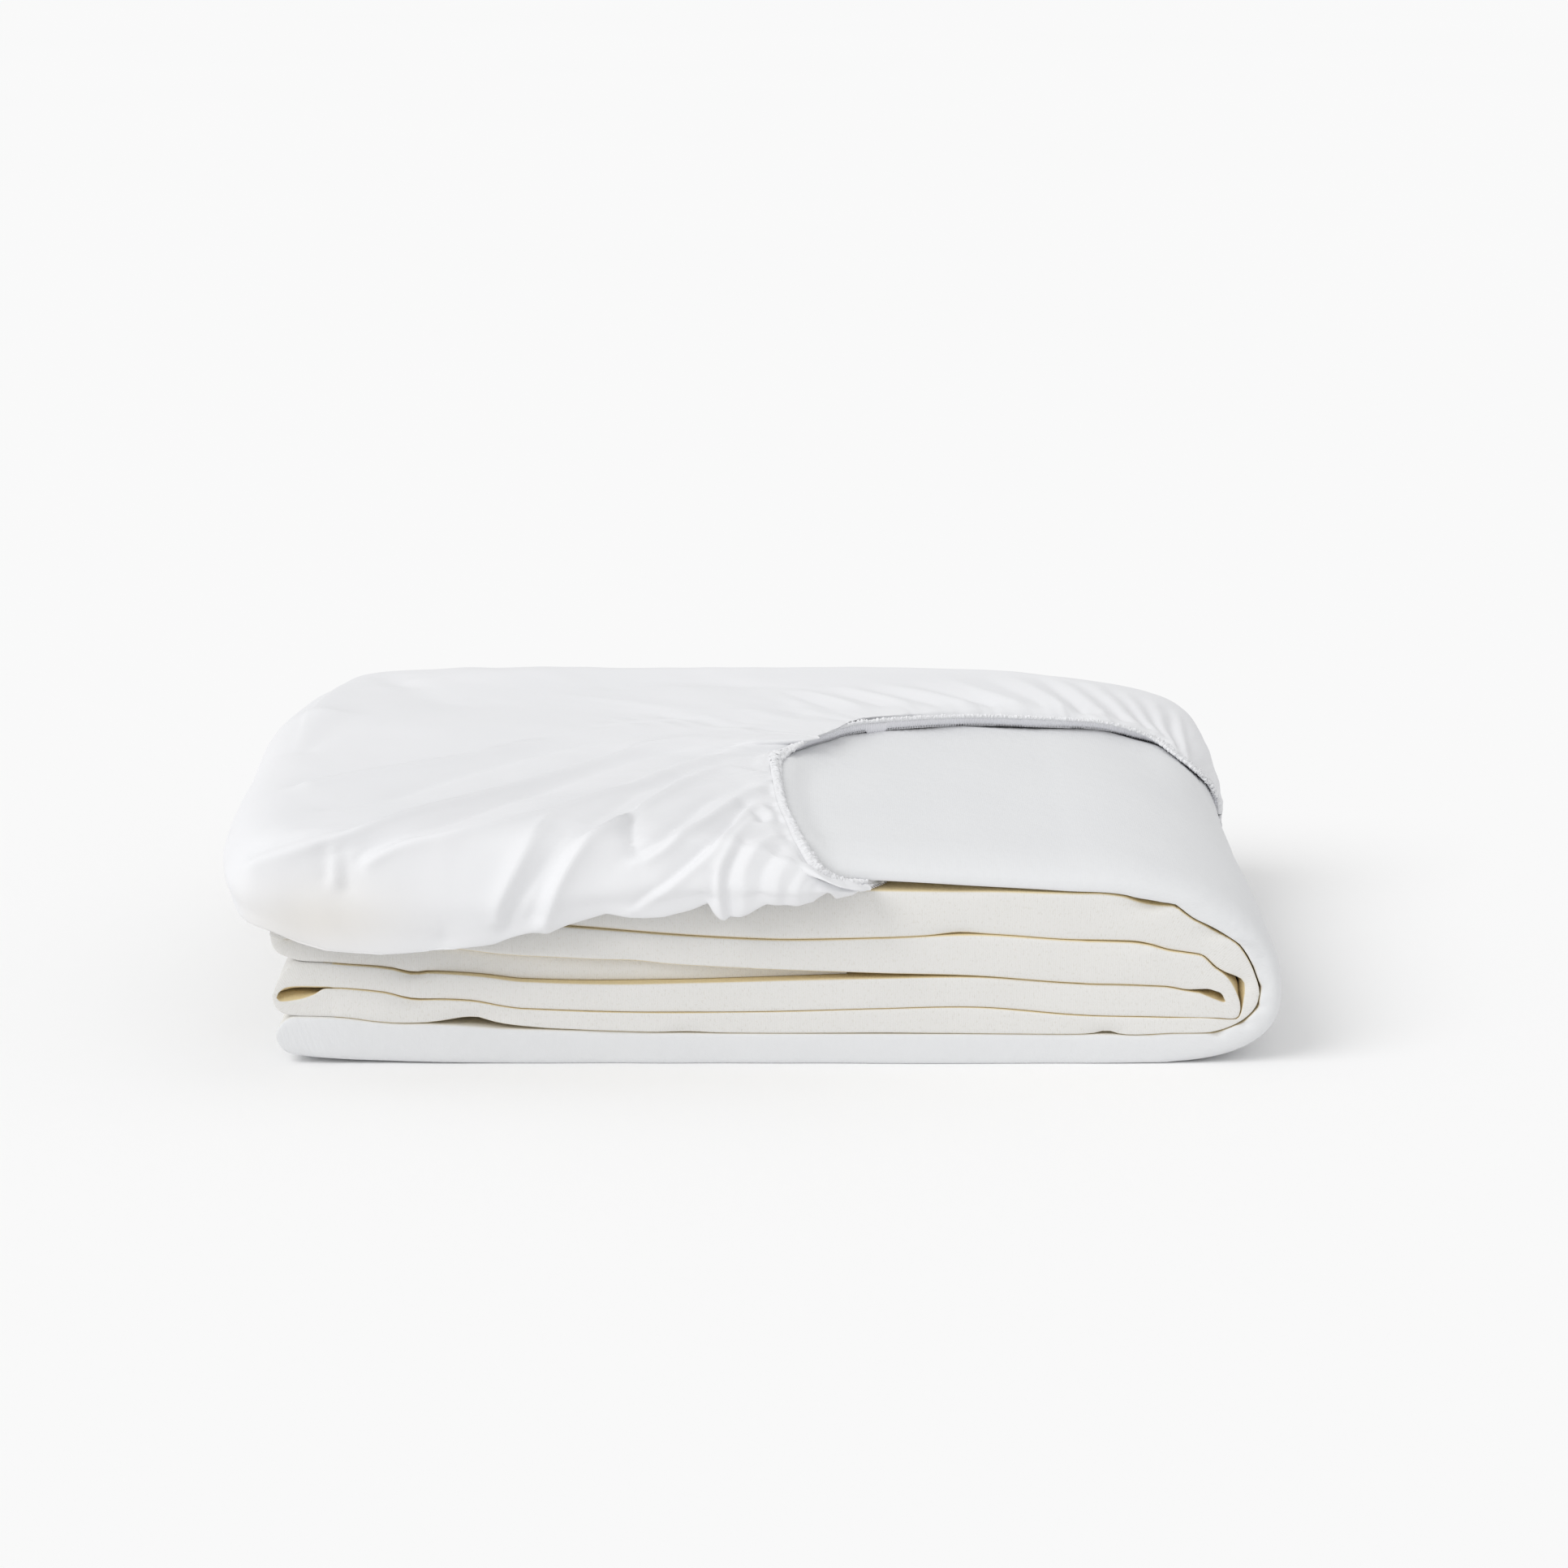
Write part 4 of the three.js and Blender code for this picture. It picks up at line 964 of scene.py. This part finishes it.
def hem_frames():
    """The free edge at each rib, with the way that the hem runs from it, the way its outer face looks and the
    level way out over the pile."""
    rims = np.array([rib["rim"] for rib in SKIRT_RIBS], float)
    ends = np.concatenate([rims[:1], rims, rims[-1:]])
    mouth = ends[2:] - ends[:-2]
    out = np.stack([-mouth[:, 1], mouth[:, 0], np.zeros(len(rims))], -1)
    out /= np.linalg.norm(out, axis=1, keepdims=True)
    lean = np.radians([rib["lean"] for rib in SKIRT_RIBS])[:, None]
    up = np.array([[0, 0, 1.0]])
    return rims, out * np.cos(lean) + up * np.sin(lean), up * np.cos(lean) - out * np.sin(lean), out


def rib_points():
    """The points of every rib, from the free edge of the hem over the pile and down to the tucked lower
    edge."""
    rims, along, _, out = hem_frames()
    ribs = []
    for rib, edge, hem, outward in zip(SKIRT_RIBS, rims, along, out):
        foot = np.array([*rib["foot"], 0.0])
        span = np.array([*(foot - edge)[:2], 0.0])
        reach = np.linalg.norm(span)
        span /= reach

        def inside(inset, z):
            point = foot - span * min(inset["distance"], inset["share"] * reach)
            return np.array([point[0], point[1], z])

        wide = rib.get("hem", HEM_WIDTH)
        leave = edge + hem * wide + outward * min(HEM_ROLL["distance"], HEM_ROLL["share"] * reach)
        crown = inside(INSETS["crown"], rib["crown"])
        rising = [leave] + [leave + (crown - leave) * [way["out"], way["out"], way["up"]] for way in CLIMB]
        end = wide * (hem @ outward)
        behind = [edge + hem * wide + outward * BACK_CLIMB[0]["out"]]
        behind += [edge + outward * (end + way["out"]) + [0, 0, way["up"] * (crown[2] - edge[2])]
                   for way in BACK_CLIMB[1:]]
        close = smoothstep((rib["lean"] - BACK_LEAN[0]) / (BACK_LEAN[1] - BACK_LEAN[0]))
        rising = [a + (b - a) * close for a, b in zip(rising, behind)]
        curl = min(rib["low"] + CURL_RISE, rib["low"] + (rib["girth"] - rib["low"]) * CURL_SHARE)
        shoulder = rib["girth"] + (rib["crown"] - rib["girth"]) * SHOULDER_SHARE
        low = inside(INSETS["low"], rib["low"])
        tuck = min(1.0, reach / TUCK["reach"])
        ribs.append([
            edge,
            edge + hem * wide / 2,
            edge + hem * wide,
            *rising,
            crown,
            inside(INSETS["shoulder"], shoulder),
            np.array([foot[0], foot[1], rib["girth"]]),
            inside(INSETS["curl"], curl),
            low,
            low - span * TUCK["in"] * tuck + [0, 0, TUCK["up"] * tuck],
        ])
    return np.array(ribs)


def profile_places():
    """Places of the mesh's rows, counted in points of a rib."""
    places, start = [np.zeros(1)], 0
    for span in PROFILE_SPANS:
        places.append(np.linspace(start, span["to"], span["rows"] + 1)[1:])
        start = span["to"]
    return np.concatenate(places)


def fold_lines():
    """The lines of all the folds, each with its heights and the share of them that it digs behind itself."""
    def gather(start, end, heights):
        middle = start * (1 - GATHER["middle"]) + end * GATHER["middle"] + [0, 0, GATHER["up"]]
        return [start, middle, end], heights, 0

    lines = [(fold["line"], fold["high"], fold.get("behind", 0)) for fold in SKIRT_FOLDS]
    mouth = smooth_rows(BACK_MOUTH, [crease["mouth"] for crease in BACK_CREASES])
    roll = smooth_rows(BACK_ROLL, [max(crease["roll"], 0) for crease in BACK_CREASES])
    high = np.array([crease["high"] for crease in BACK_CREASES])
    for start, end, deep in zip(mouth, roll, high):
        lines.append(gather(start, end, (-deep, -deep, -GATHER["crease_end"] * deep)))
    for start, end, tall in zip(*((row[1:] + row[:-1]) / 2 for row in (mouth, roll, high))):
        lines.append(gather(start, end, (tall, tall, GATHER["ridge_end"] * tall)))
    return lines


def fold_paths(flat, out):
    """Every fold as points on the skirt's smooth form, with their heights."""
    square = (flat * flat).sum(-1)
    for line, high, behind in fold_lines():
        length = run_length(np.asarray(line, float))[-1]
        path = smooth_rows(line, np.linspace(0, len(line) - 1, max(FOLD_LEAST, round(length / FOLD_STEP))))
        nearest = np.argmin(square[:, None] - 2 * flat @ path.T, axis=0)
        path = path - out[nearest] * ((path - flat[nearest]) * out[nearest]).sum(-1, keepdims=True)
        height = smooth_rows(high, np.linspace(0, len(high) - 1, len(path)))
        yield path, height
        if behind:
            way = np.gradient(path, axis=0)
            side = np.cross(way / np.linalg.norm(way, axis=1, keepdims=True), out[nearest])
            yield path + side * FOLD_BEHIND, -behind * height


def fold_relief(points, normals):
    """How far the folds lift the skirt off its smooth form: between them it stretches from one to the
    next."""
    flat = points.reshape(-1, 3)
    total, weight = np.zeros(len(flat)), np.full(len(flat), FOLD_REACH ** -FOLD_POWER)
    for path, height in fold_paths(flat, normals.reshape(-1, 3)):
        place = np.argmin(-2 * flat @ path.T + (path * path).sum(-1), axis=1)
        way = np.gradient(path, axis=0)
        step = np.linalg.norm(way, axis=1)[place]
        offset = flat - path[place]
        past = (offset * way[place]).sum(-1) / step
        before = np.where(place == 0, 0, -step / 2)
        past = np.clip(past, before, np.where(place == len(path) - 1, 0, step / 2))
        away = np.maximum((offset * offset).sum(-1) - past * past, 0)
        near = (away + FOLD_SOFT ** 2) ** (-FOLD_POWER / 2)
        total += near * np.interp(place + past / step, np.arange(len(path)), height)
        weight += near
    return (total / weight).reshape(points.shape[:-1])


def cover_height(x, y):
    """Height of the panel's uppermost face."""
    return regular_cover(x, y) + pile_swell(x, y)


def skirt_points():
    """The skirt's grid of points, one column for each place along its free edge, from that edge outwards."""
    columns = np.linspace(0, len(SKIRT_RIBS) - 1, (len(SKIRT_RIBS) - 1) * RIB_COLUMNS + 1)
    ribs = smooth_rows(rib_points(), columns)
    places = profile_places()
    smooth = smooth_rows(ribs.transpose(1, 0, 2), places).transpose(1, 0, 2)
    edge_x, edge_y, edge_z = smooth[:, np.searchsorted(places, PROFILE_LOW)].T
    wanted = np.interp(edge_x, *zip(*LOWER_EDGE))
    front = smoothstep((-edge_y - EDGE_FADE["ahead"]) / EDGE_FADE["run"])
    front = front * smoothstep((edge_x - LOWER_EDGE[0][0] + EDGE_FADE["past"]) / EDGE_FADE["left"])
    front = front * smoothstep((LOWER_EDGE[-1][0] + EDGE_FADE["past"] - edge_x) / EDGE_FADE["right"])
    upwards = smoothstep((places - PROFILE_LOW + EDGE_FADE["rows"]) / EDGE_FADE["rows"])
    drop = ((wanted - edge_z) * front)[:, None] * upwards
    smooth[..., 2] += drop
    normals = grid_normals(smooth)
    rim_run = run_length(smooth[:, 0])[:, None]
    out = run_length(smooth.transpose(1, 0, 2)).T
    reach = out / out[:, -1:]
    wide = out[:, HEM_END:HEM_END + 1]
    hem_fade = smoothstep((out - wide) / HEM_FADE)
    fold_fade = smoothstep((out - wide) / FOLD_FADE)
    pleats = sum(wander(rim_run / pleat["pitch"] + out / pleat["drift"], pleat["seed"]) * pleat["high"]
                 for pleat in PLEATS)
    gathers = pleats * np.exp(-np.maximum(out - PLEAT_REACH["from"], 0) / PLEAT_REACH["fade"]) * hem_fade
    rumple = sum(part["high"] * mottle(columns[:, None] * part["per_rib"], out / part["pitch"], part["seed"])
                 for part in RUMPLES)
    rumple = rumple * hem_fade * smoothstep((1 - reach) / RUMPLE_EDGE)
    points = smooth + normals * (fold_relief(smooth, normals) * fold_fade + gathers + rumple)[..., None]
    floor = cover_height(points[..., 0], points[..., 1]) + COVER_CLEARANCE
    over = (normals[..., 2] > LEVEL) & (points[..., 1] > 0) & (columns[:, None] > TIP_RIBS)
    points[..., 2] += np.where(over, np.maximum(floor - points[..., 2], 0), 0)
    return points, columns, out


def skirt(points, columns, out):
    """The skirt from the end of its hem to its lower edge."""
    (at_x, at_z), (wide_x, wide_z) = THIN["at"], THIN["wide"]
    thin = np.exp(-((points[..., 0] - at_x) / wide_x) ** 2 - ((points[..., 2] - at_z) / wide_z) ** 2)
    thin = thin * smoothstep(-points[..., 1] / THIN["front"])
    uv = np.stack([np.broadcast_to(columns[:, None] * RIB_SPACING, out.shape), out], -1)
    rows = slice(HEM_END - 1, None)
    layers = {"UVMap": uv[:, rows], "thin": thin[:, rows]}
    return grid_mesh("skirt_cloth", points[:, rows], [MICROFIBRE], layers)


def along_rim(points, step):
    """The skirt's first rows at even places along its free edge, and the distances to those places."""
    edge = points[:, :HEM_ROWS]
    run = run_length(edge[:, 0])
    at = np.linspace(0, run[-1], round(run[-1] / step) + 1)
    return smooth_rows(edge, np.interp(at, run, np.arange(len(run)))), at


def grow(piece, tree, settings):
    """Run a node tree on a piece with the sizes it asks for, and keep the result as the piece's own mesh."""
    modifier = piece.modifiers.new(tree.name, "NODES")
    modifier.node_group = tree
    for item in tree.interface.items_tree:
        if item.name in settings:
            modifier[item.identifier] = settings[item.name]
    graph = bpy.context.evaluated_depsgraph_get()
    baked = bpy.data.meshes.new_from_object(piece.evaluated_get(graph), preserve_all_data_layers=True,
                                            depsgraph=graph)
    piece.modifiers.clear()
    piece.data = baked
    return piece


class Growth:
    """A geometry node tree that takes a piece's mesh and named sizes, and gives back a mesh."""

    def __init__(self, name, sizes):
        self.tree = bpy.data.node_groups.new(name, "GeometryNodeTree")
        self.tree.interface.new_socket("Geometry", in_out="INPUT", socket_type="NodeSocketGeometry")
        for size, kind in sizes.items():
            self.tree.interface.new_socket(size, in_out="INPUT", socket_type=kind)
        self.tree.interface.new_socket("Geometry", in_out="OUTPUT", socket_type="NodeSocketGeometry")
        self.given = self.node("NodeGroupInput")

    def node(self, kind, settings=None, inputs=None):
        return add_node(self.tree, kind, settings, inputs)

    def size(self, name):
        return Value(self.tree, self.given.outputs[name])

    def stored(self, name, kind="FLOAT"):
        found = self.node("GeometryNodeInputNamedAttribute", {"data_type": kind}, {"Name": name})
        return found.outputs["Attribute"]

    def number(self, name):
        return Value(self.tree, self.stored(name))

    def noise(self, x, y):
        place = self.node("ShaderNodeCombineXYZ", inputs={0: x, 1: y}).outputs[0]
        node = self.node("ShaderNodeTexNoise", {"noise_dimensions": "2D"},
                         {"Vector": place, "Scale": 1.0, "Detail": 1.0})
        return Value(self.tree, node.outputs[0])

    def finish(self, geometry, material):
        whole = self.node("GeometryNodeRealizeInstances", inputs={"Geometry": geometry})
        painted = self.node("GeometryNodeSetMaterial",
                            inputs={"Geometry": whole.outputs[0], "Material": material})
        self.node("NodeGroupOutput", inputs={"Geometry": painted.outputs[0]})
        return self.tree


def ruffle_tree():
    """Small ruffles along a gathered hem: puffs with sharp creases between them, each a little different."""
    g = Growth("ruffles", {"Pitch": "NodeSocketFloat", "Length": "NodeSocketFloat",
                           "Height": "NodeSocketFloat", "Cloth": "NodeSocketMaterial"})
    run, across = g.number("run") / g.size("Pitch"), g.number("across") / g.size("Length")
    puffs = (g.noise(run, across) - NOISE_MIDDLE).math("ABSOLUTE") * RUFFLE_PUFF["high"]
    fine = g.noise(run * RUFFLE_FINE["along"], across * RUFFLE_FINE["across"] + RUFFLE_FINE["apart"])
    fine = fine - NOISE_MIDDLE
    slow = g.noise(run * RUFFLE_SLOW["along"], RUFFLE_SLOW["apart"]) - NOISE_MIDDLE
    lift = puffs + fine * RUFFLE_FINE["high"] + slow * RUFFLE_SLOW["high"] - RUFFLE_PUFF["level"]
    lift = lift * g.number("ruffle") * g.size("Height")
    offset = g.node("ShaderNodeVectorMath", {"operation": "SCALE"},
                    {0: g.stored("facing", "FLOAT_VECTOR"), "Scale": lift})
    moved = g.node("GeometryNodeSetPosition",
                   inputs={"Geometry": g.given.outputs["Geometry"], "Offset": offset.outputs[0]})
    return g.finish(moved.outputs[0], g.given.outputs["Cloth"])


def cord_tree():
    """Fine cords side by side across an elastic band."""
    g = Growth("elastic cords", {"Radius": "NodeSocketFloat", "Length": "NodeSocketFloat",
                                 "Elastic": "NodeSocketMaterial"})
    cord = g.node("GeometryNodeMeshCylinder", inputs={"Vertices": CORD_SIDES, "Radius": g.size("Radius"),
                                                      "Depth": g.size("Length")})
    turned = g.node("FunctionNodeAlignRotationToVector", {"axis": "Z"},
                    {"Vector": g.stored("across", "FLOAT_VECTOR")})
    cords = g.node("GeometryNodeInstanceOnPoints",
                   inputs={"Points": g.given.outputs["Geometry"], "Selection": g.stored("cord", "BOOLEAN"),
                           "Instance": cord.outputs[0], "Rotation": turned.outputs[0]})
    smooth = g.node("GeometryNodeSetShadeSmooth", inputs={"Geometry": cords.outputs[0]})
    both = g.node("GeometryNodeJoinGeometry")
    for part in (g.given.outputs["Geometry"], smooth.outputs[0]):
        g.tree.links.new(part, both.inputs[0])
    return g.finish(both.outputs[0], g.given.outputs["Elastic"])


def hem_section(points, step):
    """The free edge at even places, with the way across the hem, the way that it faces and its width
    there."""
    edge, run = along_rim(points, step)
    way = edge[:, HEM_END] - edge[:, 0]
    wide = np.linalg.norm(way, axis=1, keepdims=True)
    return edge, run, way / wide, grid_normals(edge)[:, HEM_END // 2], wide


def hem(points):
    """The gathered hem: it comes up out of the cloth, swells over the elastic and rolls over the free
    edge."""
    edge, run, way, facing, wide = hem_section(points, HEM_STEP)
    on_back = smoothstep((facing[:, 2:] - ON_BACK["from"]) / ON_BACK["run"])
    swell = CHANNEL_SWELL["back"] + (CHANNEL_SWELL["front"] - CHANNEL_SWELL["back"]) * on_back
    turn = np.radians(np.linspace(HEM_BEAD["to"], HEM_BEAD["from"], BEAD_STEPS))[None]
    share = np.linspace(CHANNEL["from"], CHANNEL["to"], CHANNEL["rows"])[None]
    away = np.concatenate([HEM_BEAD["at"] - HEM_BEAD["radius"] * np.sin(turn) + 0 * wide, wide * share], 1)
    high = np.concatenate([HEM_BEAD["radius"] * np.cos(turn) - HEM_BEAD["under"] + 0 * wide,
                           CHANNEL["high"] + swell * np.sin(math.pi * share) ** CHANNEL["power"]], 1)
    bead = edge[:, :1] + way[:, None] * away[..., None] + facing[:, None] * high[..., None]
    strip = np.concatenate([bead, edge[:, HEM_END + 1:] + HEM_LIFT * facing[:, None]], 1)
    across = run_length(strip.transpose(1, 0, 2)).T
    ruffle = smoothstep((across[:, -1:] - across) / RUFFLE_FADE["inner"])
    least = RUFFLE_FADE["least"]
    ruffle = ruffle * (least + (1 - least) * smoothstep(across / RUFFLE_FADE["edge"]))
    uv = np.stack([np.broadcast_to(run[:, None], across.shape), across], -1)
    layers = {"UVMap": uv, "run": uv[..., 0], "across": across, "facing": grid_normals(strip),
              "ruffle": ruffle, "thin": np.zeros(across.shape)}
    return grow(grid_mesh("skirt_hem", strip, [MICROFIBRE], layers), ruffle_tree(),
                {"Pitch": RUFFLE["pitch"], "Length": RUFFLE["length"], "Height": RUFFLE["high"] * MM,
                 "Cloth": MICROFIBRE})


def elastic(points):
    """The elastic inside the hem: a flat band with cords across the face that it shows."""
    edge, _, way, facing, wide = hem_section(points, ELASTIC["pitch"])
    across = ELASTIC["from"] + (wide - ELASTIC["short"] - ELASTIC["from"]) * np.linspace(0, 1, ELASTIC_ROWS)
    flat = edge[:, :1] + way[:, None] * across[..., None]
    depths = (ELASTIC["under"], ELASTIC["under"] + ELASTIC["thick"])
    near, far = (flat - facing[:, None] * deep for deep in depths)
    ring = np.concatenate([far[:, ::-1], near], 1)
    cord = np.zeros(ring.shape[:2])
    cord[1:-1, ELASTIC_ROWS // 2] = 1
    layers = {"across": np.broadcast_to(way[:, None], ring.shape), "cord": cord}
    band = grid_mesh("elastic_band", ring, [ELASTIC_COVER], layers, tube=True)
    return grow(band, cord_tree(), {"Radius": ELASTIC["cord"] * MM, "Elastic": ELASTIC_COVER,
                                    "Length": (HEM_WIDTH - ELASTIC["short"] - ELASTIC["from"]) * MM})


panel_cloth = panel()
skirt_grid = skirt_points()
skirt_cloth = skirt(*skirt_grid)
skirt_hem = hem(skirt_grid[0])
elastic_band = elastic(skirt_grid[0])

# ----------------------------------------------------------------------------------------------------------
# Floor, light and camera

CAMERA = {"back": 1.5, "height": 0.473, "pitch": 13.25, "lens": 86.72, "sensor": 36.0}
FLOOR_RADIUS, FLOOR_SIDES = 60.0, 96
SUN = {"strength": 1.2, "spread": 40.0, "from": (-0.62, -0.42, 0.7)}
SKY = 0.745


def studio():
    """A white floor, an even sky, one wide soft light and the camera."""
    scene = bpy.context.scene
    scene.view_settings.view_transform = "Standard"
    bpy.ops.mesh.primitive_circle_add(vertices=FLOOR_SIDES, radius=FLOOR_RADIUS, fill_type="NGON",
                                      location=(PILE[0], PILE[1], PILE[2]))
    ground = bpy.context.object
    ground.name = "floor"
    paper = Finish("white_paper", Specular_IOR_Level=0.0)
    coords = paper.node("ShaderNodeTexCoord").outputs["Object"]
    cloud = paper.noise(coords, scale=0.5, detail=2.0)
    white = paper.mix(cloud, paint(249, 249, 249), paint(248, 248, 248))
    ground.data.materials.append(paper.finish(white, roughness=1.0))

    world = bpy.data.worlds.new("studio")
    world.use_nodes = True
    world.node_tree.nodes["Background"].inputs["Color"].default_value = (1, 1, 1, 1)
    world.node_tree.nodes["Background"].inputs["Strength"].default_value = SKY
    scene.world = world

    lamp = bpy.data.lights.new("window", "SUN")
    lamp.energy = SUN["strength"]
    lamp.angle = math.radians(SUN["spread"])
    window = bpy.data.objects.new("window", lamp)
    window.rotation_euler = Vector(SUN["from"]).to_track_quat("Z", "Y").to_euler()
    scene.collection.objects.link(window)

    camera = bpy.data.cameras.new("camera")
    camera.lens, camera.sensor_width = CAMERA["lens"], CAMERA["sensor"]
    camera.clip_end = 4 * FLOOR_RADIUS
    view = bpy.data.objects.new("camera", camera)
    view.location = Vector(PILE) + Vector((0, -CAMERA["back"], CAMERA["height"]))
    view.rotation_euler = (math.radians(90 - CAMERA["pitch"]), 0, 0)
    scene.collection.objects.link(view)
    scene.camera = view


studio()

# ----------------------------------------------------------------------------------------------------------
# Each piece hangs from the root body, and the imported part that it stands for is hidden

for piece, node, slot in ((panel_cloth, "top_panel", "coated_knit"), (skirt_cloth, "skirt", "microfibre"),
                          (skirt_hem, "skirt", "microfibre"), (elastic_band, "skirt_elastic", "elastic")):
    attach(piece, "root")
    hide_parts(node)
